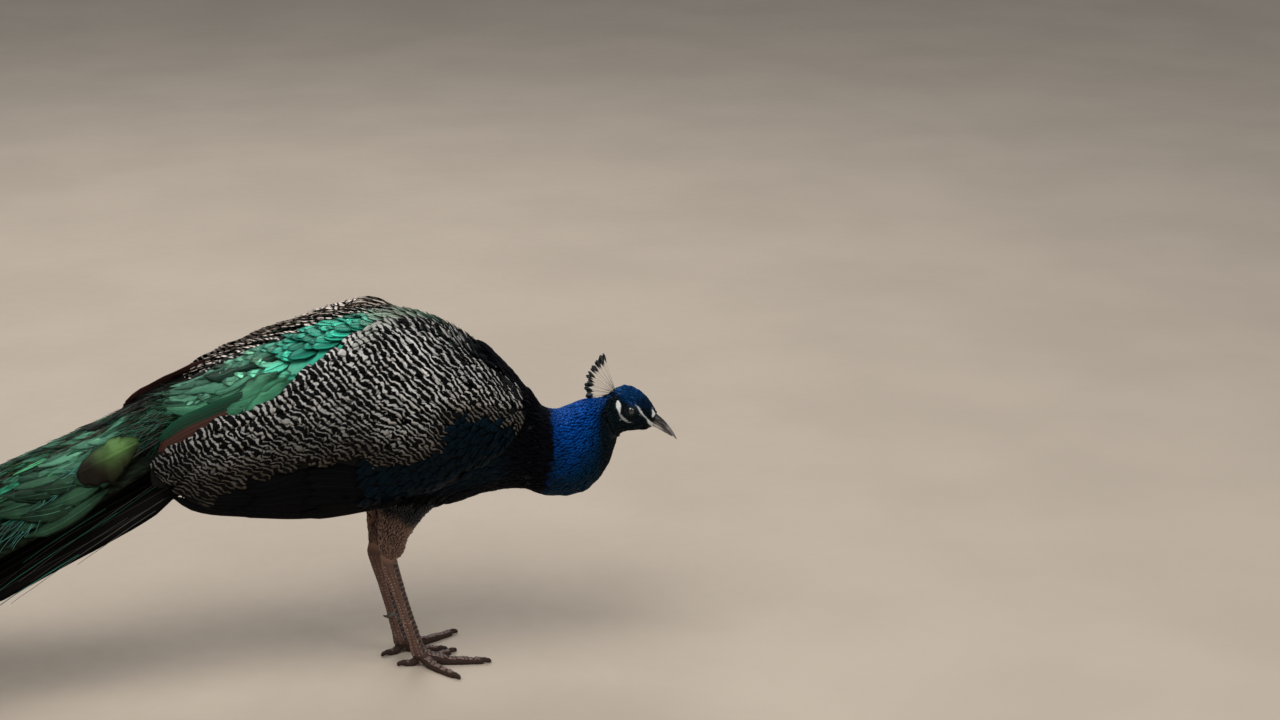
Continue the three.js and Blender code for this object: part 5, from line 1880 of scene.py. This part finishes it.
    def flat_vanes(self):
        """Closed green vanes among the loose barbs, and the forked ends of the longest feathers."""
        rng = self.rng
        number = 210
        s = rng.uniform(0.05, 0.60, number)
        f = rng.uniform(0.06, 0.94, number)
        length = rng.uniform(0.10, 0.20, number)
        width = rng.uniform(0.007, 0.019, number)
        turn = rng.normal(0, 0.05, number) + (f - 0.5) * 0.15
        pick = rng.random(number)[:, None]
        tint = np.where(pick < 0.45, rgb("emerald") * [1, 0.85, 0.7], rgb("jade") * [0.5, 0.8, 0.6])
        tint = np.where(pick > 0.8, [0.05, 0.15, 0.045], tint) * rng.uniform(0.1, 1.75, (number, 1)) ** 1.4
        forks = 18
        s = np.concatenate([s, np.repeat(np.linspace(0.90, 0.965, forks), 2)])
        f = np.concatenate([f, np.repeat(rng.uniform(0.08, 0.92, forks), 2)])
        length = np.concatenate([length, np.full(2 * forks, 0.055)])
        width = np.concatenate([width, np.full(2 * forks, 0.014)])
        turn = np.concatenate([turn, np.tile([0.45, -0.45], forks)])
        tint = np.concatenate([tint, np.tile(rgb("train") * 1.2, (2 * forks, 1))])
        count = len(s)
        rows, columns = 8, 5
        points = lay_vanes(self.sheet, s, f, length, width, rows, columns, lambda t: leaf(t, 0.45, 0.35, 0.8),
                           (0.0005, 0.0050), turn, ragged=0.03, seed=72)
        middles = points.mean(1)
        tints = np.concatenate([tint, np.full((count, 1), 0.7)], 1) * self.shade(s + 0.47 * length, middles)
        material = vane_material("train_vanes", 0.36, barbs=40, unevenness=0.5, shaft=(0.12, 0.10, 0.06),
                                 shaft_width=0.035)
        coat_piece("train_vanes", points, vane_form(rows, columns), self.sheet.at(s, f)[0],
                   tints, material, (PATCH, PATCH * 4))


class PEACOCK_OT_crest(bpy.types.Operator):
    """Fan of bare shafts with dark spoons at their ends"""

    bl_idname = "peacock.crest"
    bl_label = "Crest"

    def execute(self, context):
        rng = np.random.default_rng(sizes().seed + 80)
        number, rows = 21, 22
        along = np.linspace(0, 1, rows + 1)
        share = (np.arange(number) + 0.5) / number
        angle = np.radians(135 + 93 * share)
        length = 35.5 + 15 * (1 - share) ** 2 + rng.uniform(-2.6, 1.6, number)
        aside = rng.permutation(np.linspace(-3.4, 3.4, number))
        way = np.stack([np.cos(angle), aside / 60, np.sin(angle)], 1)
        sag = np.stack([np.sin(angle), np.zeros(number), -np.cos(angle)], 1)
        bend = (share - 0.4) * 3.0
        root = np.array([-33.0, 0, 8.0]) + np.stack([share * 0, aside * 0.35, share * -6.0 + 2], 1)
        line = root[:, None] + way[:, None] * length[:, None, None] * along[None, :, None]
        line = line + sag[:, None] * (bend[:, None] * along[None] ** 2)[..., None]
        spoon = np.interp(along, [0, 0.70, 0.78, 0.86, 0.93, 0.98, 1], [0, 0, 1.0, 2.5, 3.1, 2.2, 0.5])
        wisp = np.interp(along, [0, 0.05, 0.4, 0.70, 1], [0.32, 0.30, 0.18, 0.16, 0])
        half = np.maximum(spoon[None] * rng.uniform(0.55, 1.15, (number, 1)), wisp[None])
        twist = rng.uniform(-0.5, 0.5, number)
        flat = unit(sag * np.cos(twist)[:, None] + np.array([0, 1, 0]) * np.sin(twist)[:, None])
        face = unit(np.cross(flat, way))
        thick = np.maximum(0.14, 0.16 + 0.05 * np.sin(along * 9))
        columns = 5
        across = np.linspace(-1, 1, columns)
        top = line[:, :, None] + flat[:, None, None] * (half[:, :, None] * across)[..., None]
        top = top + face[:, None, None] * (thick[None, :, None] * (1 - 0.8 * across**2))[..., None]
        under = (line - face[:, None] * thick[None, :, None])[:, :, None]
        points = from_head(np.concatenate([top, under], 2).reshape(number, -1, 3))
        graph = Finish("crest_feathers")
        spoon_share = graph.ramp(graph.uv("vane")[1] + graph.noise(500.0) * 0.05, 0.72, 0.79)
        colour = graph.mix(spoon_share, (0.34, 0.30, 0.25), (0.002, 0.010, 0.015))
        vane = graph.placed(vane_finish, Tint=colour, Shaft=(0.2, 0.17, 0.13), Barbs=60.0, Shaft_Width=0.05,
                            Edge_Shade=0.2, Unevenness=0.5)
        material = graph.surface(vane.outputs["Height"], 0.05, Base_Color=vane,
                                 Roughness=graph.ramp(spoon_share, 0, 1, 0.6, 0.4))
        tints = even_tints(number, rgb("crown"), 0.5)
        coat_piece("crest", points, vane_form(rows, columns), points[:, 0], tints, material,
                   nodes=["crest"])
        return {"FINISHED"}


# ---------------------------------------------------------------- eyes, bill, claws
class PEACOCK_OT_eyes(bpy.types.Operator):
    """Wet dark brown eyes"""

    bl_idname = "peacock.eyes"
    bl_label = "Eyes"

    def execute(self, context):
        material = self.material()
        for name, side in SIDES.items():
            shape = bmesh.new()
            bmesh.ops.create_uvsphere(shape, u_segments=48, v_segments=32, radius=1.0)
            layer = shape.loops.layers.uv.new("eye")
            for face in shape.faces:
                face.smooth = True
                for loop in face.loops:
                    co = loop.vert.co
                    loop[layer].uv = (math.acos(max(-1, min(1, co.z))) / math.pi * 1.6,
                                      math.atan2(co.y, co.x) / (2 * math.pi) + 0.5)
            mesh = bpy.data.meshes.new(f"eye_{name}")
            shape.to_mesh(mesh)
            shape.free()
            ball = vertex_array(mesh)
            bulge = 1 + 0.05 * np.exp(-((np.arccos(np.clip(ball[:, 2], -1, 1)) / 0.55) ** 2))
            local = np.stack([ball[:, 0], side * ball[:, 2], ball[:, 1] * side], 1)
            local = local * bulge[:, None] * (EYE_RADIUS - 0.25)
            set_points(mesh, from_head(local + EYE_SPOT * [1, side, 1]))
            outward(mesh)
            finish(object_of(f"eye_{name}", mesh, material), [f"eye_{name}"])
        return {"FINISHED"}

    def material(self):
        """Pupil, iris and dark rim, by the distance from the eye's axis."""
        graph = Finish("eye")
        fibre = graph.noise(900.0, 4.0)
        colour = graph.mix(graph.ramp(fibre, 0.35, 0.65), (0.008, 0.004, 0.002), (0.022, 0.009, 0.004))
        edge = graph.uv("eye")[0] + (fibre - 0.5) * 0.02
        for start, end, ring in (
            (0.235, 0.215, (0.002, 0.002, 0.002)),
            (0.40, 0.45, (0.012, 0.006, 0.004)),
            (0.50, 0.60, (0.012, 0.010, 0.010)),
        ):
            colour = graph.mix(graph.ramp(edge, start, end), colour, ring)
        return graph.surface(fibre, 0.03, 0.6, Base_Color=colour, Coat_Weight=1.0, Coat_Roughness=0.02,
                             Roughness=graph.ramp(edge, 0.2, 0.6, 0.08, 0.2))


def loft(rings):
    """Points and faces of a closed tube through rings of points."""
    rings = np.array(rings)
    count, around = rings.shape[:2]
    points = list(rings.reshape(-1, 3))
    faces = []
    for i in range(count - 1):
        for j in range(around):
            k = (j + 1) % around
            faces.append([i * around + j, (i + 1) * around + j, (i + 1) * around + k, i * around + k])
    for ring, backward in ((0, True), (count - 1, False)):
        centre = len(points)
        points.append(rings[ring].mean(0))
        for j in range(around):
            k = (j + 1) % around
            face = [ring * around + j, ring * around + k, centre]
            faces.append(face[::-1] if backward else face)
    return points, faces


def horn_material(name, base, dark):
    """Horn that darkens where the stored `dark` value says."""
    graph = Finish(name)
    grain = graph.noise(320.0, 4.0, (1.0, 3.0, 3.0))
    pale = graph.mix(graph.ramp(grain, 0.35, 0.7), base * 0.75, base * 1.15)
    return graph.surface(grain, 0.12, 0.8, Base_Color=graph.mix(graph.attribute("dark"), pale, dark),
                         Roughness=graph.ramp(grain, 0.3, 0.7, 0.32, 0.5))


# Stations of the bill: level, height, how tall and half how wide it is there.
UPPER_BILL = [
    (-6, 3.6, 11.6, 7.2), (-3, 3.4, 11.2, 6.8), (4, 3.3, 10.0, 6.2), (9, 3.0, 8.8, 5.7),
    (14.5, 2.4, 7.2, 5.0), (19, 1.5, 6.0, 4.3), (24, 0.2, 4.8, 3.5), (28.5, -1.3, 3.9, 2.8),
    (33, -3.2, 2.8, 1.9), (36, -4.6, 1.9, 1.2), (38, -5.6, 1.0, 0.6),
]
LOWER_BILL = [
    (-5, -4.6, 6.8, 6.2), (-1, -4.5, 6.4, 5.7), (5, -4.2, 5.4, 5.1), (9, -3.8, 4.8, 4.6),
    (15, -3.8, 4.3, 3.9), (20.5, -4.1, 3.8, 3.2), (26, -4.5, 2.8, 2.3), (29.5, -4.9, 1.8, 1.4),
    (31.5, -5.1, 1.0, 0.8),
]
BILL_ROOT = np.array([27.0, 0, 3.0])


def bill_tube(stations, steps, around, ridge):
    """Rings through bill stations (x, z, tall, half wide). ridge sharpens the top."""
    stations = np.array(stations, float)
    x = np.linspace(stations[0, 0], stations[-1, 0], steps)
    z, tall, half = (np.interp(x, stations[:, 0], stations[:, k])[:, None] for k in (1, 2, 3))
    turn = np.linspace(0, 2 * np.pi, around, endpoint=False)
    c, s = np.cos(turn), np.sin(turn)
    wide = np.sign(c) * np.abs(c) ** 0.85
    high = np.sign(s) * np.abs(s) ** (1 + ridge * 0.25)
    narrow = 1 - ridge * 0.25 * np.maximum(high, 0) ** 2
    return np.stack([np.repeat(x[:, None], around, 1), wide * half * narrow, z + high * tall / 2], 2)


class PEACOCK_OT_bill(bpy.types.Operator):
    """Upper and lower bill with nostrils and a dark ridge"""

    bl_idname = "peacock.bill"
    bl_label = "Bill"

    def execute(self, context):
        material = horn_material("bill", rgb("horn") * [1.5, 1.6, 1.9], (0.014, 0.012, 0.012))
        for name, stations, ridge in (("bill_upper", UPPER_BILL, 1.0), ("bill_lower", LOWER_BILL, 0.0)):
            rings = bill_tube(stations, 90, 56, ridge)
            local = rings.reshape(-1, 3)
            if name == "bill_upper":
                side = np.sign(local[:, 1])
                centre = np.array([9.0, 0, 4.6])
                gap = np.hypot((local[:, 0] - centre[0]) / 3.0, (local[:, 2] - centre[2]) / 1.05)
                pit = np.exp(-(gap**2)) * (np.abs(local[:, 1]) > 1.5)
                lid = np.exp(-(((local[:, 0] - 8.6) / 3.6) ** 2 + ((local[:, 2] - 6.2) / 0.8) ** 2))
                local[:, 1] += side * (-1.5 * pit + 0.35 * lid * (np.abs(local[:, 1]) > 1.5))
                crease = np.exp(-(((local[:, 2] - (-0.6 - 0.10 * local[:, 0])) / 0.7) ** 2))
                crease = crease * ease(-local[:, 0], -30, -18)
                local[:, 1] -= side * 0.25 * crease
                ridge_top = np.interp(local[:, 0], [-6, 10, 38], [0.8, 0.6, -4.6])
                dark = ease(local[:, 2] - ridge_top, -0.6, 1.0) * (1 - 0.45 * ease(local[:, 0], 14, 24))
                dark = np.maximum(dark, 0.25 + 0.4 * ease(local[:, 0], 8, 26))
                dark = np.maximum(dark, ease(pit, 0.3, 0.8))
            else:
                dark = np.maximum(ease(-local[:, 2], 4.6, 6.0) * 0.8, 0.02 + 0.75 * ease(local[:, 0], 9, 19))
            points, faces = loft(local.reshape(rings.shape))
            mesh = mesh_of(name, from_head(np.array(points) + BILL_ROOT), faces)
            outward(mesh)
            store(mesh, "dark", np.concatenate([dark, [0.6, 1.0]]))
            finish(object_of(name, mesh, material), [name])
        return {"FINISHED"}


# Level and height of the hock and of the foot, and the foot's heading in degrees.
LEGS = {"right": ((-27, 144), (9, 13), -9), "left": ((-38, 139), (-9, 13), 30)}
# Bearing from the foot's heading in degrees, length and thickness of each toe.
TOES = {"inner": (-40, 47, 10.5), "middle": (0, 78, 11.5), "outer": (44, 60, 10.5), "hind": (172, 18, 9.5)}


def toe_way(name, toe):
    """Foot centre, direction of a toe and the direction beside it, in bird millimetres."""
    side = SIDES[name]
    _, foot, heading = LEGS[name]
    bearing = math.radians(heading + side * TOES[toe][0])
    way = np.array([math.cos(bearing), math.sin(bearing), 0])
    return np.array([foot[0], side * 22.0, 0]), way, np.array([-way[1], way[0], 0])


def shank_point(name, share, out):
    """Point on the line of a shank, from hock to foot, `out` millimetres to the bird's side."""
    (hock_x, hock_z), (foot_x, foot_z), _ = LEGS[name]
    x, z = hock_x + (foot_x - hock_x) * share, hock_z + (foot_z - hock_z) * share
    return np.array([x, SIDES[name] * out, z])


HORN_AROUND, HORN_STEPS = 20, 16
# How far past the toe's end, height, how tall and how wide a claw is there.
CLAW_STATIONS = ((-4, 4.3, 5.8, 5.6), (2, 4.7, 5.4, 5.0), (7, 3.6, 4.2, 3.6), (10, 1.7, 1.8, 1.5))
# Place from the spur's root, for the left leg, and how thick the spur is there.
SPUR_STATIONS = ((0, 0, 0, 8), (-6, -7, -1, 5.4), (-11, -12, 1, 3), (-14, -14.5, 4, 1.0))


def horn_tube(stations, beside):
    """Closed tube through stations of (point, tall, wide), flat rings square to the line."""
    turn = np.linspace(0, 2 * np.pi, HORN_AROUND, endpoint=False)
    middle = np.array([station[0] for station in stations], float)
    ways = unit(np.gradient(middle, axis=0))
    rings = []
    for (point, tall, wide), way in zip(stations, ways):
        up = unit(np.cross(way, beside) * -1)
        aside = np.outer(np.cos(turn), beside) * wide / 2
        rings.append(np.array(point) + aside + np.outer(np.sin(turn), up) * tall / 2)
    return loft(rings)


def smooth_stations(stations, steps):
    """Stations resampled along a smooth curve."""
    flat = np.array([[*point, tall, wide] for point, tall, wide in stations], float)
    t = np.concatenate([[0], np.cumsum(np.linalg.norm(np.diff(flat[:, :3], axis=0), axis=1))])
    knots = np.linspace(0, t[-1], steps)
    made = np.stack([np.interp(knots, t, flat[:, k]) for k in range(5)], 1)
    for _ in range(3):
        made[1:-1] = (made[:-2] + 2 * made[1:-1] + made[2:]) / 4
    return [(row[:3], row[3], row[4]) for row in made]


class PEACOCK_OT_claws(bpy.types.Operator):
    """Claws of all toes, and the spur on the back of each leg"""

    bl_idname = "peacock.claws"
    bl_label = "Claws and spurs"

    def execute(self, context):
        material = horn_material("claw", rgb("horn") * 0.42, (0.02, 0.017, 0.014))
        for name, side in SIDES.items():
            for toe, (_, length, _) in TOES.items():
                foot, way, beside = toe_way(name, toe)
                stations = [(foot + way * (length + past) + [0, 0, z], tall, wide)
                            for past, z, tall, wide in CLAW_STATIONS]
                self.horn(f"claw_{toe}_{name}", stations, beside, material, [f"foot_{name}"])
            root = shank_point(name, 0.66, 18.5)
            stations = [(root + [x, y * side, z], thick, thick) for x, y, z, thick in SPUR_STATIONS]
            beside = np.array([0.6, -0.75 * side, 0.2])
            self.horn(f"spur_{name}", stations, beside, material, [f"spur_{name}"])
        return {"FINISHED"}

    def horn(self, name, stations, beside, material, nodes):
        stations = smooth_stations(stations, HORN_STEPS)
        way = unit(stations[-1][0] - stations[0][0])
        beside = unit(beside - way * (beside @ way))
        points, faces = horn_tube(stations, beside)
        mesh = mesh_of(name, place(np.array(points)), faces)
        outward(mesh)
        dark = np.repeat(np.linspace(0.1, 1, HORN_STEPS) ** 1.5, HORN_AROUND)
        store(mesh, "dark", np.concatenate([dark, [0.1, 1.0]]))
        finish(object_of(name, mesh, material), nodes)


def scute_tree():
    """Scales planted on stored points, with their stored turn and size."""
    graph, given, result = planting_tree("Scutes", {})
    points = graph.node("GeometryNodeMeshToPoints", Mesh=given["Geometry"])
    turn = facing(graph, graph.stored("up"), graph.stored("way"))
    return plant(graph, given, result, points, turn, graph.stored("size"))


class PEACOCK_OT_scutes(bpy.types.Operator):
    """Scales on the front of the legs and on top of the toes"""

    bl_idname = "peacock.scutes"
    bl_label = "Scutes"

    def execute(self, context):
        self.tree = BVHTree.FromObject(the_skin(), bpy.context.evaluated_depsgraph_get())
        self.found = []
        for name in SIDES:
            self.shank_scales(name)
            self.toe_scales(name)
        spots, ups, ways, extents, bolds = (np.array(values) for values in zip(*self.found))
        seeds = mesh_of("scute_seeds", spots, [])
        for key, values in (("up", ups), ("way", ways), ("size", extents), ("bold", bolds)):
            store(seeds, key, values)
        base, scale = object_of("scute_seeds", seeds), self.scale()
        made = grown(base, scute_tree(), {"Shape": scale, "Finish": self.material()})
        made.name = "leg_scutes"
        corners = vertex_array(made)
        corners[:, 2] = np.maximum(corners[:, 2], 0)
        set_points(made, corners)
        finish(object_of("leg_scutes", smooth(made)))
        discard(base)
        discard(scale)
        return {"FINISHED"}

    def add(self, near, out, way, extent, bold):
        """Keeps the place of a scale where the skin is met from `out` towards `near`, all in millimetres."""
        hit, normal, _, _ = self.tree.ray_cast(Vector(place(near + out * 25)), Vector(-out), 0.05)
        if hit is not None:
            spot = np.array(hit) - np.array(normal) * 0.0004
            self.found.append((spot, normal, way, np.array(extent) * MM, bold))

    def shank_scales(self, name):
        """Two columns of large scales down the front, and small ones round the rest."""
        down = unit(shank_point(name, 1, 0) - shank_point(name, 0, 0))
        front = unit(np.array([-down[2], 0, down[0]]))
        columns = [(swing, 19, 20, 0.05 + offset / 20, (6.6, 8.6, 0.9), 1.0)
                   for offset, swing in ((0, -0.78), (0.5, 0.78))]
        for swing in (1.75, -1.75, 2.5, -2.5, 3.14):
            # Painted highlight: pale plain scales at the back of the near shank only, where the light falls
            # on its rear edge.
            bold = -1.0 if abs(swing) > 2 and name == "right" else 0.1
            columns.append((swing, 32, 33, 0.03, (4.0, 4.0, 0.5), bold))
        for swing, number, steps, start, extent, bold in columns:
            out = unit(front * math.cos(swing) + np.array([0, 1, 0]) * math.sin(swing))
            for i in range(number):
                share = start + i / steps
                self.add(shank_point(name, share, 23 - share), out, down, extent, bold)

    def toe_scales(self, name):
        for toe, (_, length, thick) in TOES.items():
            foot, way, _ = toe_way(name, toe)
            number = max(4, int(length / 5.2))
            for i in range(number):
                share = (i + 0.6) / (number + 0.4)
                near = foot + way * length * share + [0, 0, 6.0]
                extent = (5.8, thick * (1 - 0.42 * share) * 1.02, 0.9)
                self.add(near, np.array([0, 0, 1.0]), way, extent, 0.75)

    def material(self):
        """Pale rims round dark middles, and pale plain scales where `bold` is below zero, a painted highlight
        down the rear of the near shank.
        """
        graph, leg = Finish("scute"), rgb("leg")
        bold = graph.attribute("bold")
        middle = graph.ramp(graph.attribute("rim") + graph.noise(600.0) * 0.3, 0.92, 0.78) * bold
        pale = graph.mix(graph.ramp(graph.noise(150.0, 3.0), 0.35, 0.65), leg * 1.1, leg * 2.4)
        tone = graph.mix(bold * -0.7, graph.mix(middle, pale, leg * 0.12), leg * 3.2)
        return graph.surface(graph.noise(1300.0, 3.0), 0.15, Base_Color=tone,
                             Roughness=graph.patchy(400.0, 0.35, 0.55))

    def scale(self):
        """One scale: a low rounded shield of length 1 along X and width 1, raised towards its lower end."""
        size = 7
        even = np.linspace(-0.5, 0.5, size)
        grid_x, grid_y = np.meshgrid(even, even, indexing="ij")
        aside = np.abs(even * 2)[None]
        grid_y = grid_y * np.sqrt(np.clip(1 - (np.abs(grid_x * 2) ** 2.6) * 0.55, 0, 1))
        dome = np.clip(1 - np.abs(grid_x * 2) ** 3, 0, 1) * np.clip(1 - aside**3, 0, 1)
        top = np.stack([grid_x, grid_y, dome * (0.75 + 0.5 * (grid_x + 0.5)) - 0.35 * aside**2 - 0.1], -1)
        bottom = np.stack([grid_x, grid_y, np.full_like(grid_x, -1.1)], -1)
        points = np.concatenate([top.reshape(-1, 3), bottom.reshape(-1, 3)])
        faces = []
        for i in range(size - 1):
            for j in range(size - 1):
                first = i * size + j
                faces.append([first, first + size, first + size + 1, first + 1])
        rim = rim_of(size, size)
        below = size * size
        for a, b in zip(rim, rim[1:] + rim[:1]):
            faces.append([b, a, a + below, b + below])
        faces.append([k + below for k in reversed(rim)])
        mesh = mesh_of("scute", points, faces)
        outward(mesh)
        flat = vertex_array(mesh)
        store(mesh, "rim", np.maximum(np.abs(flat[:, 0]), np.abs(flat[:, 1])) * 2)
        return object_of("scute", mesh)


# ---------------------------------------------------------------- stage
# Name, place, side and share of the key light's power of each soft light.
LIGHTS = (
    ("key", (-0.9, -1.5, 3.8), 2.8, 1.0),
    ("side", (2.6, -1.9, 2.2), 1.8, 0.22),
    ("rear", (0.4, 2.6, 2.8), 1.8, 0.35),
)
LIT_POINT = Vector((0.1, 0, 0.2))
WARM_WHITE = (1.0, 0.975, 0.94)
SKY_COLOUR, SKY_STRENGTH = (0.86, 0.90, 0.96, 1), 0.34
CAMERA_SPOT, CAMERA_TURN = (0.1618, -2.8996, 1.3060), (72.6, 0, -12)


class PEACOCK_OT_stage(bpy.types.Operator):
    """Plain pale floor, soft studio light, pale surroundings and the camera"""

    bl_idname = "peacock.stage"
    bl_label = "Stage"

    def execute(self, context):
        scene = context.scene
        stage = scene.peacock_stage
        mesh = mesh_of("floor", [(-40, -20, 0), (40, -20, 0), (40, 60, 0), (-40, 60, 0)], [[0, 1, 2, 3]])
        graph = Finish("floor")
        base = np.array(stage.floor[:])
        colour = graph.mix(graph.ramp(graph.noise(3.0, 4.0), 0.3, 0.7), base * 0.96, base * 1.04)
        material = graph.surface(graph.noise(220.0, 3.0), 0.3, 0.4, Base_Color=colour,
                                 Roughness=graph.patchy(40.0, 0.75, 0.9))
        object_of("floor", mesh, material)
        for name, spot, size, share in LIGHTS:
            data = bpy.data.lights.new(name, "AREA")
            data.size, data.energy = size, stage.key_power * share
            data.color = WARM_WHITE
            lamp = bpy.data.objects.new(name, data)
            lamp.location = spot
            lamp.rotation_euler = (LIT_POINT - Vector(spot)).to_track_quat("-Z", "Y").to_euler()
            scene.collection.objects.link(lamp)
        world = bpy.data.worlds.new("surroundings")
        world.use_nodes = True
        sky = world.node_tree.nodes["Background"].inputs
        sky["Color"].default_value, sky["Strength"].default_value = SKY_COLOUR, SKY_STRENGTH
        scene.world = world
        data = bpy.data.cameras.new("camera")
        data.lens = stage.lens
        data.sensor_width = 36
        data.clip_end = 200
        camera = bpy.data.objects.new("camera", data)
        camera.location = CAMERA_SPOT
        camera.rotation_euler = [math.radians(angle) for angle in CAMERA_TURN]
        scene.collection.objects.link(camera)
        scene.camera = camera
        scene.view_settings.view_transform = "Standard"
        return {"FINISHED"}


# ---------------------------------------------------------------- add-on
class VIEW3D_PT_peacock(bpy.types.Panel):
    """Every step of the peacock, in order"""

    bl_label = "Peacock"
    bl_idname = "VIEW3D_PT_peacock"
    bl_space_type = "VIEW_3D"
    bl_region_type = "UI"
    bl_category = "Peacock"

    def draw(self, context):
        for step in STEPS:
            self.layout.operator(step.bl_idname)


STEPS = (
    PEACOCK_OT_stage, PEACOCK_OT_skin, PEACOCK_OT_eyes, PEACOCK_OT_bill, PEACOCK_OT_claws, PEACOCK_OT_scutes,
    PEACOCK_OT_contour_coat, PEACOCK_OT_wings, PEACOCK_OT_back, PEACOCK_OT_tail, PEACOCK_OT_train,
    PEACOCK_OT_crest,
)
SETTINGS = {"peacock_colours": PlumageColours, "peacock_sizes": CoatSizes, "peacock_stage": StageSettings}


def register():
    for group in SETTINGS.values():
        bpy.utils.register_class(group)
    for step in (*STEPS, VIEW3D_PT_peacock):
        bpy.utils.register_class(step)
    for name, group in SETTINGS.items():
        setattr(bpy.types.Scene, name, PointerProperty(type=group))


def unregister():
    for name in SETTINGS:
        delattr(bpy.types.Scene, name)
    for step in reversed((*STEPS, VIEW3D_PT_peacock)):
        bpy.utils.unregister_class(step)
    for group in reversed(SETTINGS.values()):
        bpy.utils.unregister_class(group)


def write_size():
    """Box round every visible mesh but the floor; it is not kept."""
    low, high = np.full(3, np.inf), np.full(3, -np.inf)
    for piece in bpy.context.scene.objects:
        if piece.type == "MESH" and piece.name != "floor" and piece.visible_get():
            turn = np.array(piece.matrix_world.to_3x3())
            points = vertex_array(piece.data) @ turn.T + piece.matrix_world.translation
            low, high = np.minimum(low, points.min(0)), np.maximum(high, points.max(0))


def main():
    register()
    for step in STEPS:
        group, name = step.bl_idname.split(".")
        getattr(getattr(bpy.ops, group), name)()
    write_size()


if __name__ == "__main__":
    main()
